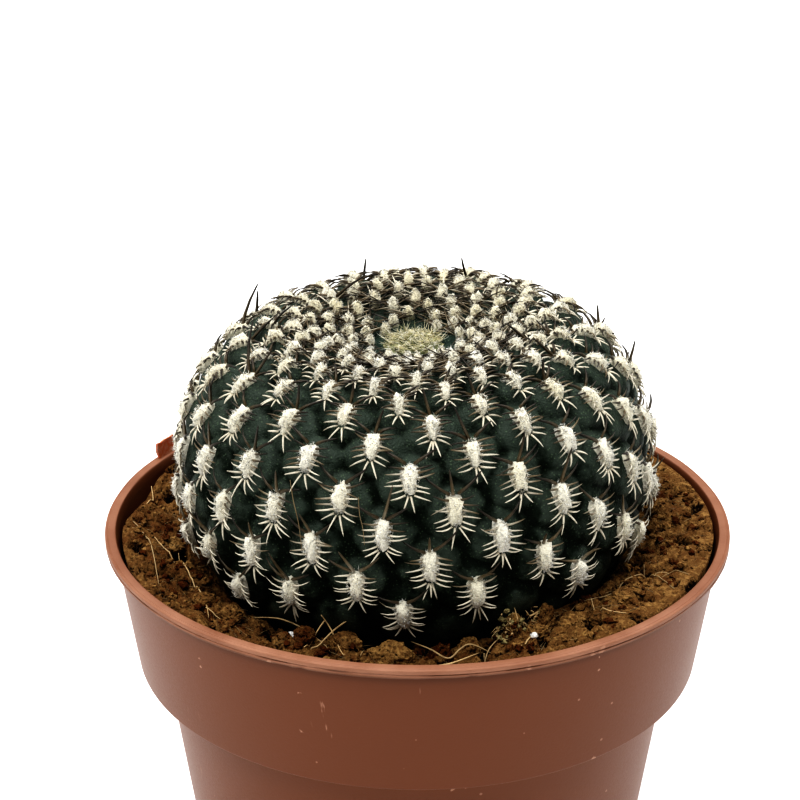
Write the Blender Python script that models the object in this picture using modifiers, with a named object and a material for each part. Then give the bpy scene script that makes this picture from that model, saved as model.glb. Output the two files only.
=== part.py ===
"""A squat ribless cactus in its nursery pot.

Units are metres and +Z is up. The pot stands on z = 0 with its axis on x = y = 0, and -Y is the front.
The plant's areoles follow twin golden spirals, so every tubercle, pad and spine is placed by one rule.
Azimuths are measured from the front towards +X.
"""

import math
import random

import bmesh
import bpy
import numpy as np
from mathutils import Matrix, Vector, noise
from mathutils.bvhtree import BVHTree

SEED = 326
# Clear space between pieces that touch, and the smallest merge distance
GAP = 0.0003
MERGE = 0.00001

# Pot
POT_HEIGHT = 0.092
LIP_RADIUS = 0.0525
LIP_WIDTH = 0.00185
LIP_DROP = 0.0015
COLLAR_TOP_RADIUS = 0.05095
COLLAR_BOTTOM_RADIUS = 0.0479
COLLAR_DEPTH = 0.0234
STEM_TOP_RADIUS = 0.0437
FOOT_RADIUS = 0.0346
FOOT_RING_WIDTH = 0.0060
FOOT_LIFT = 0.0015
WALL = 0.0008
EDGE = 0.0005
POT_STEPS = 56
DRAIN_HOLES = 8
DRAIN_RADIUS = 0.0032
DRAIN_CIRCLE = 0.0200
DRAIN_SIDES = 12

# Torn sliver that stands up from the back left of the lip
SLIVER_AZIMUTH = math.radians(-120.6)
SLIVER_SIZE = (0.0031, 0.0007, 0.0030)
SLIVER_HEIGHT = 0.0019
SLIVER_TAPER = 0.55
SLIVER_LEAN = math.radians(6.0)

# Plant: its outline is that of the wool tips, and its skin lies PAD_RISE inside that
GIRTH_RADIUS = 0.04036
GIRTH_HEIGHT = POT_HEIGHT + 0.0080
OVER_HEIGHT = 0.02843
OVER_POWER = 2.4
UNDER_DEPTH = 0.03471
UNDER_POWER = 1.75
CROWN_RADIUS = 0.01683
CROWN_DIP = 0.0040
PAD_RISE = 0.0014
PLANT_FOOT = Vector((0.0003, -0.0011, POT_HEIGHT - 0.0060))
LEAN_LEFT = math.radians(2.4)
LEAN_FORWARD = math.radians(3.1)

# Spiral rule: twin areoles at each level, and the next level down turned by DIVERGENCE
DIVERGENCE = math.radians(68.754)
FIRST_AZIMUTH = math.radians(-0.4)
FIRST_ARC = 0.0190
TOP_LEVEL = -78
CROWN_LEVEL = -36
YOUNG_LEVEL = -50
BOTTOM_LEVEL = 45
# Arc above the girth, and the drop of one level there
PITCH_ARC = (0.0180, 0.0190, 0.0230, 0.0280, 0.0330, 0.0370, 0.0410, 0.0540)
PITCH_DROP = (0.00067, 0.00075, 0.00066, 0.00067, 0.00054, 0.00038, 0.00029, 0.00033)
# Where the spirals' centre lies from the outline's axis, to the right and the front, and the arcs it slides in
CROWN_SLIDE = (0.00053, 0.00126)
SLIDE_ARCS = (0.0110, 0.0360)

# A full-grown areole's pad, and its crest as (place along it, share of PAD_RISE)
PAD_LENGTH = 0.0066
PAD_WIDTH = 0.0029
PAD_CREST = ((0.62, 0.85), (0.0, 1.0), (-0.72, 0.85))
PAD_ENDS = (1.15, -1.2)
# The cell's two groove corners, as azimuth step and levels down from the areole
GROOVES = ((math.radians(1.4), 8.8), (math.radians(-7.6), 4.2))
GROOVE_DEPTH = 0.0012

# The smooth base below the soil and the bare crown, as (arc above the girth, vertices in that ring)
BARE_BELOW = -0.0172
BASE_RINGS = ((-0.0190, 32), (-0.0255, 24), (-0.0320, 18), (-0.0400, 12))
CROWN_RINGS = ((0.0534, 12), (0.0565, 8))

# Spines
SPINE_RADIUS = 0.00021
SPINE_ROOT = 0.0010
SIDE_SPINE = 0.0041
TAIL_SPINE = 0.0044
UPRIGHT_SPINE = 0.0052
CROWN_SPINE = 0.0046
LEAST_SCALE = 0.72
SPINE_TURN = 4

# Tuft in the crown
TUFT_RADIUS = 0.0052
TUFT_HEIGHT = 0.0012
TUFT_SPINES = 18
TUFT_SPINE = 0.0028

# Soil
SOIL_LEVEL = POT_HEIGHT - 0.0060
SOIL_RADIUS = 0.04905
SOIL_SECTORS = 72
SOIL_RINGS = 8
HOLE_GAP = 0.00035
HOLE_RINGS = 5
BRIM_ARC = -0.0163
LOWEST_TIP = SOIL_LEVEL + 0.0032
CRUMB_HEIGHT = 0.0009
CRUMB_SIZE = 0.0042
CLOD_COUNT = 46
CLOD_DISTANCE = (0.0385, 0.0475)
CLOD_RADIUS = (0.0020, 0.0042)
CLOD_HEIGHT = (0.0008, 0.0020)
# The biggest clods, as (azimuth in degrees, distance from the axis, radius, height)
BIG_CLODS = (
    (6.0, 0.0395, 0.0034, 0.0026),
    (-6.0, 0.0415, 0.0030, 0.0022),
    (13.5, 0.0400, 0.0026, 0.0018),
    (-88.0, 0.0420, 0.0042, 0.0024),
    (118.0, 0.0440, 0.0036, 0.0022),
)

# Perlite grains on the soil, as (azimuth in degrees, distance from the axis, radius)
PERLITE = ((-28.5, 0.0400, 0.00080), (16.0, 0.0405, 0.00060), (24.5, 0.0425, 0.00065))
PERLITE_FLATNESS = 0.75
PERLITE_ROUGHNESS = 0.25


def clear_scene():
    for item in list(bpy.data.objects):
        bpy.data.objects.remove(item, do_unlink=True)


def make_collection(name):
    collection = bpy.data.collections.new(name)
    bpy.context.scene.collection.children.link(collection)
    return collection


def make_material(name, colour, roughness):
    material = bpy.data.materials.new(name)
    material.use_nodes = True
    shader = material.node_tree.nodes["Principled BSDF"]
    shader.inputs["Base Color"].default_value = (*colour, 1.0)
    shader.inputs["Roughness"].default_value = roughness
    shader.inputs["Metallic"].default_value = 0.0
    return material


def make_object(name, bm, collection, material=None):
    """Turns a bmesh into a named object with outward faces."""
    bmesh.ops.recalc_face_normals(bm, faces=bm.faces[:])
    mesh = bpy.data.meshes.new(name)
    bm.to_mesh(mesh)
    bm.free()
    item = bpy.data.objects.new(name, mesh)
    collection.objects.link(item)
    if material:
        mesh.materials.append(material)
    return item


def apply_modifiers(item):
    evaluated = item.evaluated_get(bpy.context.evaluated_depsgraph_get())
    mesh = bpy.data.meshes.new_from_object(evaluated)
    item.modifiers.clear()
    item.data = mesh


def apply_boolean(item, collection, operation):
    """Cuts item with, or joins it to, all of a collection at once, and removes that collection's objects."""
    modifier = item.modifiers.new(operation.title(), "BOOLEAN")
    modifier.operation = operation
    modifier.solver = "EXACT"
    modifier.operand_type = "COLLECTION"
    modifier.collection = collection
    apply_modifiers(item)
    for other in list(collection.objects):
        bpy.data.objects.remove(other, do_unlink=True)


def smooth_by_angle(item, degrees):
    item.data.shade_smooth()
    item.data.set_sharp_from_angle(angle=math.radians(degrees))


def polar(azimuth, radius, height=0.0):
    return Vector((radius * math.sin(azimuth), -radius * math.cos(azimuth), height))


# Pot


def pot_outline():
    """Half section of the pot: from the axis up the inner wall, over the lip and down the outer side."""
    collar_end = POT_HEIGHT - COLLAR_DEPTH
    ring_inner = FOOT_RADIUS - FOOT_RING_WIDTH
    inner = [
        (0.0, FOOT_LIFT + WALL),
        (ring_inner - WALL, FOOT_LIFT + WALL),
        (ring_inner + EDGE, WALL),
        (FOOT_RADIUS - WALL - EDGE, WALL),
        (FOOT_RADIUS - WALL, WALL + EDGE),
        (STEM_TOP_RADIUS - WALL, collar_end - EDGE + WALL),
        (COLLAR_BOTTOM_RADIUS - WALL - EDGE, collar_end + WALL),
        (COLLAR_BOTTOM_RADIUS - WALL, collar_end + WALL + EDGE),
        (COLLAR_TOP_RADIUS - WALL, POT_HEIGHT - LIP_DROP),
        (LIP_RADIUS - LIP_WIDTH, POT_HEIGHT - EDGE / 2),
    ]
    outer = [
        (LIP_RADIUS - LIP_WIDTH + EDGE, POT_HEIGHT),
        (LIP_RADIUS - EDGE, POT_HEIGHT),
        (LIP_RADIUS, POT_HEIGHT - EDGE),
        (LIP_RADIUS, POT_HEIGHT - LIP_DROP + EDGE / 2),
        (LIP_RADIUS - EDGE / 2, POT_HEIGHT - LIP_DROP),
        (COLLAR_TOP_RADIUS, POT_HEIGHT - LIP_DROP),
        (COLLAR_BOTTOM_RADIUS, collar_end + EDGE),
        (COLLAR_BOTTOM_RADIUS - EDGE, collar_end),
        (STEM_TOP_RADIUS + EDGE, collar_end),
        (STEM_TOP_RADIUS, collar_end - EDGE),
        (FOOT_RADIUS, EDGE),
        (FOOT_RADIUS - EDGE, 0.0),
        (ring_inner, 0.0),
        (ring_inner - EDGE - WALL, FOOT_LIFT),
        (0.0, FOOT_LIFT),
    ]
    return inner + outer


def turn_outline(name, outline, collection, material):
    """A solid of revolution: the outline turned by a Screw modifier about Z."""
    bm = bmesh.new()
    points = [bm.verts.new((radius, 0.0, height)) for radius, height in outline]
    for first, second in zip(points, points[1:]):
        bm.edges.new((first, second))
    mesh = bpy.data.meshes.new(name)
    bm.to_mesh(mesh)
    bm.free()
    item = bpy.data.objects.new(name, mesh)
    collection.objects.link(item)
    screw = item.modifiers.new("Turn", "SCREW")
    screw.steps = POT_STEPS
    screw.render_steps = POT_STEPS
    screw.use_merge_vertices = True
    screw.merge_threshold = MERGE
    apply_modifiers(item)
    item.data.materials.append(material)
    return item


def add_drain_cutters(collection):
    for index in range(DRAIN_HOLES):
        bm = bmesh.new()
        bmesh.ops.create_cone(
            bm,
            cap_ends=True,
            segments=DRAIN_SIDES,
            radius1=DRAIN_RADIUS,
            radius2=DRAIN_RADIUS,
            depth=8 * WALL,
            matrix=Matrix.Translation(polar(math.tau * (index + 0.5) / DRAIN_HOLES, DRAIN_CIRCLE, FOOT_LIFT)),
        )
        cutter = make_object(f"drain_cutter_{index}", bm, collection)
        cutter.hide_render = True
        cutter.display_type = "WIRE"


def add_sliver(collection):
    """The torn sliver: a thin chip, tapered at one side and rooted in the lip."""
    bm = bmesh.new()
    bmesh.ops.create_cube(bm, size=1.0)
    bmesh.ops.scale(bm, verts=bm.verts[:], vec=SLIVER_SIZE)
    for vert in bm.verts:
        if vert.co.z > 0.0 and vert.co.x > 0.0:
            vert.co.x *= SLIVER_TAPER
    foot = Vector((0.0, LIP_WIDTH / 2 - LIP_RADIUS, POT_HEIGHT + SLIVER_HEIGHT - SLIVER_SIZE[2] / 2))
    place = Matrix.Rotation(SLIVER_AZIMUTH, 4, "Z") @ Matrix.Translation(foot)
    bmesh.ops.transform(bm, verts=bm.verts[:], matrix=place @ Matrix.Rotation(SLIVER_LEAN, 4, "X"))
    make_object("sliver", bm, collection)


def make_pot(parts, loose):
    plastic = make_material("terracotta_plastic", (0.30, 0.115, 0.062), 0.42)
    pot = turn_outline("pot", pot_outline(), parts, plastic)
    add_drain_cutters(loose)
    apply_boolean(pot, loose, "DIFFERENCE")
    add_sliver(loose)
    apply_boolean(pot, loose, "UNION")
    smooth_by_angle(pot, 35.0)


# Plant outline and spiral rule


def make_outline(count=160):
    """Arc, radius, height and outward normal of the wool outline, from the taproot's tip to the crown.

    The arc is 0 at the girth and grows upwards.
    """
    turn = np.linspace(0.0, math.pi / 2, count)
    cosine, sine = np.clip(np.cos(turn), 0.0, 1.0), np.sin(turn)
    under_radius = GIRTH_RADIUS * cosine ** (2 / UNDER_POWER)
    under_height = GIRTH_HEIGHT - UNDER_DEPTH * sine ** (2 / UNDER_POWER)
    over_radius = CROWN_RADIUS + (GIRTH_RADIUS - CROWN_RADIUS) * cosine ** (2 / OVER_POWER)
    over_height = GIRTH_HEIGHT + OVER_HEIGHT * sine ** (2 / OVER_POWER)
    share = np.linspace(1.0, 0.0, count // 3)[1:]
    fall = 1.0 - share**2
    crown_height = GIRTH_HEIGHT + OVER_HEIGHT - CROWN_DIP * (fall + fall**2) / 2
    radius = np.concatenate([under_radius[::-1], over_radius[1:], CROWN_RADIUS * share])
    height = np.concatenate([under_height[::-1], over_height[1:], crown_height])
    arc = np.concatenate([[0.0], np.cumsum(np.hypot(np.diff(radius), np.diff(height)))])
    arc -= arc[count - 1]
    run, climb = np.gradient(radius, arc), np.gradient(height, arc)
    radius[0] = radius[-1] = climb[0] = climb[-1] = 0.0
    length = np.hypot(run, climb)
    return arc, radius, height, climb / length, -run / length


OUTLINE = make_outline()
ROOT_TIP = float(OUTLINE[0][0])
CROWN_CENTRE = float(OUTLINE[0][-1])
LEAN = Matrix.Rotation(-LEAN_LEFT, 4, "Y") @ Matrix.Rotation(LEAN_FORWARD, 4, "X")


def outline_at(arc):
    return [float(np.interp(arc, OUTLINE[0], row)) for row in OUTLINE[1:]]


def slide(azimuth, arc):
    """Moves a place of the spiral rule towards the spirals' own centre, the more the higher it lies."""
    share = float(np.interp(arc, SLIDE_ARCS, (0.0, 1.0)))
    share *= share * (3.0 - 2.0 * share)
    across = (CROWN_CENTRE - arc) * math.sin(azimuth) + CROWN_SLIDE[0] * share
    ahead = (CROWN_CENTRE - arc) * math.cos(azimuth) + CROWN_SLIDE[1] * share
    return math.atan2(across, ahead), CROWN_CENTRE - math.hypot(across, ahead)


def plant_point(azimuth, arc, lift=0.0):
    """A point of the leaning plant, at a lift above its skin."""
    azimuth, arc = slide(azimuth, arc)
    radius, height, out, up = outline_at(arc)
    stand = lift - PAD_RISE
    place = polar(azimuth, radius + out * stand, height + up * stand - PLANT_FOOT.z)
    return LEAN @ place + PLANT_FOOT


def plant_frame(azimuth, arc, step=0.0002):
    """Unit vectors at a place on the plant: along the girth, up the meridian, and out of the skin."""
    side = (plant_point(azimuth + 0.01, arc) - plant_point(azimuth - 0.01, arc)).normalized()
    climb = (plant_point(azimuth, arc + step) - plant_point(azimuth, arc - step)).normalized()
    return side, climb, side.cross(climb)


def drop_at(arc):
    return float(np.interp(arc, PITCH_ARC, PITCH_DROP))


def areoles():
    """Every areole as (level, azimuth, arc, scale), with scale 1 for a full-grown one."""
    arcs = {0: FIRST_ARC}
    for level in range(1, BOTTOM_LEVEL + 1):
        arcs[level] = arcs[level - 1] - drop_at(arcs[level - 1])
    for level in range(-1, TOP_LEVEL - 1, -1):
        arcs[level] = arcs[level + 1] + drop_at(arcs[level + 1])
    full = GIRTH_RADIUS * PITCH_DROP[0]
    found = []
    for level in sorted(arcs):
        arc = arcs[level]
        scale = min(1.0, math.sqrt(outline_at(arc)[0] * drop_at(arc) / full) * 1.04)
        for twin in (0.0, math.pi):
            found.append((level, FIRST_AZIMUTH + DIVERGENCE * level + twin, arc, scale))
    return found


# Plant


def cell_points(level, azimuth, arc, scale):
    """Vertices of one tubercle: its pad's crest, feet and ends, and the groove corners, fewer on young ones."""
    half_length = PAD_LENGTH * scale / 2
    half_width = PAD_WIDTH * math.sqrt(scale) / 2
    if level >= CROWN_LEVEL:
        local = [(0.0, along * half_length, rise * PAD_RISE) for along, rise in PAD_CREST]
        local += [(side * half_width, along * half_length, 0.0) for side in (-1, 1) for along in (0.5, -0.5)]
        local += [(0.0, along * half_length, 0.0) for along in PAD_ENDS]
        grooves = GROOVES
    else:
        local = [(0.0, 0.0, PAD_RISE * math.sqrt(scale)), (0.0, -half_length, 0.0)]
        local += [(side * half_width, 0.0, 0.0) for side in (-1, 1)]
        local += [(0.0, half_length, 0.0)] if level > YOUNG_LEVEL else []
        grooves = GROOVES[:1] if level > YOUNG_LEVEL else ()
    radius = outline_at(arc)[0]
    found = [(azimuth + across / radius, arc + along, lift) for across, along, lift in local]
    for turn, levels_down in grooves:
        found.append((azimuth + turn, arc - drop_at(arc) * levels_down, -GROOVE_DEPTH * scale))
    return [place for place in found if place[1] > BARE_BELOW]


def ring_points():
    """Rings of vertices on the smooth base and the bare crown, with a pole for each."""
    found = [(0.0, ROOT_TIP, 0.0), (0.0, CROWN_CENTRE, 0.0)]
    for arc, count in BASE_RINGS + CROWN_RINGS:
        found += [(math.tau * index / count, arc, 0.0) for index in range(count)]
    return found


def latitudes(arcs):
    """Latitudes that map the plant onto a sphere with its angles kept, so a hull joins near neighbours."""
    arc, radius = OUTLINE[0], np.maximum(OUTLINE[1], GAP)
    stretch = np.concatenate([[0.0], np.cumsum(np.diff(arc) * 2 / (radius[1:] + radius[:-1]))])
    stretch -= np.interp(0.0, arc, stretch)
    return 2 * np.arctan(np.exp(np.interp(arcs, arc, stretch))) - math.pi / 2


def make_plant_body(parts, material):
    """Joins all vertices by their hull on a sphere, then moves each to its own place on the plant."""
    places = ring_points()
    for areole in areoles():
        places += cell_points(*areole)
    bm = bmesh.new()
    layer = bm.verts.layers.int.new("place")
    spread = latitudes(np.array([arc for azimuth, arc, lift in places]))
    for index, latitude in enumerate(spread):
        vert = bm.verts.new(polar(places[index][0], math.cos(latitude), math.sin(latitude)))
        vert[layer] = index
    bmesh.ops.convex_hull(bm, input=bm.verts[:])
    for vert in bm.verts:
        vert.co = plant_point(*places[vert[layer]])
    return make_object("cactus", bm, parts, material)


def add_spine(name, root, direction, length, collection):
    """A three-sided needle whose root is sunk SPINE_ROOT into what it grows from."""
    bm = bmesh.new()
    bmesh.ops.create_cone(
        bm, cap_ends=True, segments=3, radius1=SPINE_RADIUS, radius2=0.0, depth=length + SPINE_ROOT
    )
    bmesh.ops.remove_doubles(bm, verts=bm.verts[:], dist=MERGE)
    middle = Matrix.Translation(root + direction * (length - SPINE_ROOT) / 2)
    turn = Vector((0.0, 0.0, 1.0)).rotation_difference(direction).to_matrix().to_4x4()
    bmesh.ops.transform(bm, verts=bm.verts[:], matrix=middle @ turn)
    make_object(name, bm, collection)


def spine_plan(level, order, draw):
    """One areole's spines as (across, up, out, place along the pad, length).

    A grown areole has one to each side, and by turns an upright one above or a tail below.
    """
    if level < CROWN_LEVEL:
        if order % SPINE_TURN:
            return []
        return [(draw.choice((-0.75, 0.75)), 0.30, 0.60, 0.15, CROWN_SPINE * draw.uniform(0.75, 1.0))]
    plan = []
    for across in (-1.0, 1.0):
        high = draw.choice((True, False))
        reach = SIDE_SPINE * draw.uniform(0.85, 1.05)
        plan.append((across, 0.42 if high else -0.30, 0.42, 0.55 if high else -0.55, reach))
    if order % SPINE_TURN == 0:
        plan.append((draw.uniform(-0.2, 0.2), 0.55, 0.85, 0.75, UPRIGHT_SPINE * draw.uniform(0.85, 1.05)))
    if order % SPINE_TURN == 2:
        plan.append((draw.uniform(-0.35, 0.35), -0.95, 0.40, -0.80, TAIL_SPINE * draw.uniform(0.85, 1.05)))
    return plan


def add_plant_spines(collection):
    """Spines on every grown areole, left out where their tips would reach the soil."""
    draw = random.Random(SEED)
    for index, (level, azimuth, arc, scale) in enumerate(areoles()):
        side, climb, out = plant_frame(azimuth, arc)
        plan = spine_plan(level, level + index % 2, draw)
        for number, (across, up, away, along, length) in enumerate(plan):
            reach = length * max(scale, LEAST_SCALE)
            root_lift = 0.55 * PAD_RISE * math.sqrt(scale)
            root = plant_point(azimuth, arc + along * PAD_LENGTH * scale / 2, root_lift)
            direction = (side * across + climb * up + out * away).normalized()
            if (root + direction * reach).z > LOWEST_TIP:
                add_spine(f"spine_{index}_{number}", root, direction, reach, collection)


def make_cactus(parts, loose):
    skin = make_material("cactus_skin", (0.030, 0.060, 0.050), 0.55)
    plant = make_plant_body(parts, skin)
    add_plant_spines(loose)
    apply_boolean(plant, loose, "UNION")
    smooth_by_angle(plant, 30.0)


def make_crown_wool(parts, loose):
    """The tuft: a low cap that lies in the crown's dip, with young spines fused to it."""
    wool = make_material("crown_wool", (0.55, 0.52, 0.24), 0.9)
    draw = random.Random(SEED + 1)
    bm = bmesh.new()
    bmesh.ops.create_uvsphere(bm, u_segments=14, v_segments=6, radius=1.0)
    for vert in bm.verts:
        ripple = 1.0 + 0.12 * noise.noise(vert.co * 3.0)
        share = min(1.0, math.hypot(vert.co.x, vert.co.y))
        lift = 2 * GAP + TUFT_HEIGHT * max(0.0, vert.co.z) * ripple
        azimuth = math.atan2(vert.co.x, -vert.co.y)
        vert.co = plant_point(azimuth, CROWN_CENTRE - share * TUFT_RADIUS * ripple, lift)
    tuft = make_object("crown_wool", bm, parts, wool)
    for index in range(TUFT_SPINES):
        azimuth = index * 2 * DIVERGENCE
        share = math.sqrt((index + 0.5) / TUFT_SPINES)
        arc = CROWN_CENTRE - 0.8 * share * TUFT_RADIUS
        side, climb, out = plant_frame(azimuth, arc)
        lean = climb * draw.uniform(-0.9, 0.1) * share + side * draw.uniform(-0.5, 0.5)
        root = plant_point(azimuth, arc, GAP + TUFT_HEIGHT * math.sqrt(1.0 - 0.6 * share))
        reach = TUFT_SPINE * draw.uniform(0.6, 1.0)
        add_spine(f"tuft_spine_{index}", root, (out + lean).normalized(), reach, loose)
    apply_boolean(tuft, loose, "UNION")
    smooth_by_angle(tuft, 30.0)


# Soil and perlite


def clods():
    """Clods as (place, radius, height): the biggest ones first, then a seeded scatter in the open ring."""
    draw = random.Random(SEED + 2)
    found = []
    for turn, distance, radius, height in BIG_CLODS:
        found.append((polar(math.radians(turn), distance), radius, height))
    for index in range(CLOD_COUNT):
        azimuth = math.tau * (index + draw.uniform(-0.4, 0.4)) / CLOD_COUNT
        place = polar(azimuth, draw.uniform(*CLOD_DISTANCE))
        found.append((place, draw.uniform(*CLOD_RADIUS), draw.uniform(*CLOD_HEIGHT)))
    return found


def soil_rise(place, lumps):
    """Height of the surface above its own level: crumbs by noise, with clods standing on them."""
    flat = Vector((place.x, place.y, 0.0))
    rise = 0.0
    for clod, radius, height in lumps:
        share = 1.0 - (flat - clod).length_squared / radius**2
        if share > 0.0:
            rise = max(rise, height * math.sqrt(share))
    return rise + noise.noise(flat / CRUMB_SIZE) * CRUMB_HEIGHT


def soil_section(azimuth, lumps):
    """One radial slice of the soil: up the plant's hole, over the surface, and down the wall to the axis."""
    section = []
    for index in range(HOLE_RINGS + 1):
        arc = ROOT_TIP + (BRIM_ARC - ROOT_TIP) * index / HOLE_RINGS
        section.append(plant_point(azimuth, arc, HOLE_GAP))
    brim = section[-1]
    wall = polar(azimuth, SOIL_RADIUS, SOIL_LEVEL)
    for index in range(1, SOIL_RINGS):
        share = index / (SOIL_RINGS - 1)
        place = brim.lerp(wall, share)
        rise = soil_rise(place, lumps) * min(1.0, 2.5 * share)
        place.z = brim.z + (SOIL_LEVEL - brim.z) * min(1.0, 3.0 * share) + rise
        section.append(place)
    collar_end = POT_HEIGHT - COLLAR_DEPTH + WALL + GAP
    floor = FOOT_LIFT + WALL + GAP
    section.append(polar(azimuth, COLLAR_BOTTOM_RADIUS - WALL - 2 * GAP, collar_end + EDGE))
    section.append(polar(azimuth, STEM_TOP_RADIUS - WALL - GAP, collar_end))
    section.append(polar(azimuth, FOOT_RADIUS - WALL - GAP, floor))
    section.append(polar(azimuth, 0.0, floor))
    return section


def make_soil(parts):
    """A grid wrapped round the axis, one column of it for each radial slice."""
    peat = make_material("potting_soil", (0.105, 0.052, 0.020), 0.95)
    lumps = clods()
    sections = [soil_section(math.tau * index / SOIL_SECTORS, lumps) for index in range(SOIL_SECTORS)]
    rows = len(sections[0]) - 1
    bm = bmesh.new()
    bmesh.ops.create_grid(bm, x_segments=SOIL_SECTORS, y_segments=rows, size=0.5)
    for vert in bm.verts:
        column = round((vert.co.x + 0.5) * SOIL_SECTORS) % SOIL_SECTORS
        vert.co = sections[column][round((vert.co.y + 0.5) * rows)]
    bmesh.ops.remove_doubles(bm, verts=bm.verts[:], dist=MERGE)
    bmesh.ops.triangulate(bm, faces=bm.faces[:])
    soil = make_object("soil", bm, parts, peat)
    smooth_by_angle(soil, 30.0)
    return soil


def make_perlite(soil, parts):
    """Loose white grains, each let down onto the soil until it nearly touches."""
    white = make_material("perlite", (0.80, 0.79, 0.75), 0.85)
    ground = BVHTree.FromObject(soil, bpy.context.evaluated_depsgraph_get())
    for index, (turn, distance, radius) in enumerate(PERLITE):
        bm = bmesh.new()
        bmesh.ops.create_icosphere(bm, subdivisions=1, radius=radius)
        for vert in bm.verts:
            chip = noise.noise(vert.co / radius * 1.7 + Vector((index, 0.0, 0.0)))
            vert.co *= 1.0 + PERLITE_ROUGHNESS * chip
            vert.co.z *= PERLITE_FLATNESS
        above = polar(math.radians(turn), distance, POT_HEIGHT)
        falls = [ground.ray_cast(above + vert.co, Vector((0.0, 0.0, -1.0)))[3] for vert in bm.verts]
        above.z -= min(falls) - GAP
        bmesh.ops.translate(bm, verts=bm.verts[:], vec=above)
        make_object(f"perlite_{index + 1}", bm, parts, white)


def main():
    clear_scene()
    parts = make_collection("potted_cactus")
    loose = make_collection("cutters_and_repeats")
    make_pot(parts, loose)
    make_perlite(make_soil(parts), parts)
    make_cactus(parts, loose)
    make_crown_wool(parts, loose)


main()
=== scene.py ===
"""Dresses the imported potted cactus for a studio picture: fine pieces, finishes, light and camera.

Lengths are metres. Azimuths are measured from the front (-Y) towards +X. Arcs run up the plant's
meridian from its girth, and lifts stand off its skin.
"""

import math
import random

import bmesh
import bpy
import numpy as np
from bpy.props import FloatProperty, FloatVectorProperty, IntProperty, PointerProperty
from mathutils import Matrix, Vector, noise
from mathutils.bvhtree import BVHTree


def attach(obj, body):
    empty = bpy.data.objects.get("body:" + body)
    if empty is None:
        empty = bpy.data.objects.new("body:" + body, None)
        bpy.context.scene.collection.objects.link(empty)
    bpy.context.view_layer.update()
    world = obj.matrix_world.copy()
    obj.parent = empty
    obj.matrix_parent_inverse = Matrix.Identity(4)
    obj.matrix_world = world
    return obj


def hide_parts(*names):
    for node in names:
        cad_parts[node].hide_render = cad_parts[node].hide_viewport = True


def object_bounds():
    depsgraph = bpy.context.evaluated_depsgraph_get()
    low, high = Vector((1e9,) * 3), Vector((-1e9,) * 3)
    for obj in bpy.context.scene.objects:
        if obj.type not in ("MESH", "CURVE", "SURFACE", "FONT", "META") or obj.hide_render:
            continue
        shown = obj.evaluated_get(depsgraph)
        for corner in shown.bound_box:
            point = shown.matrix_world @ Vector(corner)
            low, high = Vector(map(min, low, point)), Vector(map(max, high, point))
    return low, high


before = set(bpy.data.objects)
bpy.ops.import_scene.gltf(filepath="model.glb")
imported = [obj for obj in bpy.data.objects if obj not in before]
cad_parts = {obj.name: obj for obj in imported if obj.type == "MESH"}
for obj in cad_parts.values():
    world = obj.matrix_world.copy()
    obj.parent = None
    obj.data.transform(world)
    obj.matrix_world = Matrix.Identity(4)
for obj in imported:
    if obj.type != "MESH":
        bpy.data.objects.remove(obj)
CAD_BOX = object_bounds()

bl_info = {
    "name": "Potted cactus",
    "version": (1, 0, 0),
    "blender": (4, 5, 0),
    "location": "3D View > Sidebar > Potted cactus",
    "description": "Builds a felted, comb-spined cactus in its nursery pot round a fixed frame",
    "category": "Add Mesh",
}

SEED = 326
MERGE = 0.00001
MILLIMETRE = 0.001

# Pot, as the frame has it
POT_HEIGHT = 0.092
LIP_RADIUS = 0.0525
LIP_WIDTH = 0.00185
LIP_DROP = 0.0015
COLLAR_TOP_RADIUS = 0.05095
COLLAR_BOTTOM_RADIUS = 0.0479
COLLAR_DEPTH = 0.0234
STEM_TOP_RADIUS = 0.0437
FOOT_RADIUS = 0.0346
FOOT_RING_WIDTH = 0.0060
FOOT_LIFT = 0.0015
WALL = 0.0008
DRAIN_HOLES = 8
DRAIN_RADIUS = 0.0032
DRAIN_CIRCLE = 0.0200
SLIVER_AZIMUTH = math.radians(-117.8)
# Pale nicks and scuffs on the pot: (azimuth in degrees, depth below the lip, radius from the axis, size)
NICKS = (
    (-20.2, 0.0069, 0.0500, 0.00030),
    (-20.3, 0.0142, 0.0491, 0.00025),
    (32.6, 0.0055, 0.0502, 0.00030),
    (32.3, 0.0031, 0.0505, 0.00025),
    (34.9, 0.0231, 0.0479, 0.00045),
    (7.4, 0.0265, 0.0433, 0.00035),
    (-41.4, 0.0066, 0.0501, 0.00024),
    (-41.0, 0.0082, 0.0499, 0.00020),
    (31.4, 0.0008, 0.0524, 0.00100),
    (29.6, 0.0010, 0.0524, 0.00070),
    (18.0, 0.0010, 0.0524, 0.00060),
    (-24.0, 0.0012, 0.0524, 0.00060),
)

# Gaps in the lip's lower bead: (azimuth in degrees, depth, width in degrees)
BEAD_GAPS = ((1.8, 0.00040, 0.5), (-21.8, 0.00030, 0.8), (-18.9, 0.00030, 0.5), (9.0, 0.00025, 0.7))
# Azimuths between which the bead has more flash, and those between which it has less
FLASHED = (-29.4, -18.9)
TRIMMED = (2.0, 61.3)
BEAD_TOP = 0.00085
BEAD_WIDTH = 0.0005
BEAD_OUTSTAND = 0.00002

# Plant, as the frame has it: the outline of its wool tips, with the skin PAD_RISE inside
GIRTH_RADIUS = 0.04036
GIRTH_HEIGHT = POT_HEIGHT + 0.0080
OVER_HEIGHT = 0.02843
OVER_POWER = 2.4
UNDER_DEPTH = 0.03471
UNDER_POWER = 1.75
CROWN_RADIUS = 0.01683
CROWN_DIP = 0.0040
PAD_RISE = 0.0014
PLANT_FOOT = np.array((0.0003, -0.0011, POT_HEIGHT - 0.0060))
LEAN_LEFT = math.radians(2.4)
LEAN_FORWARD = math.radians(3.1)

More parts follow.
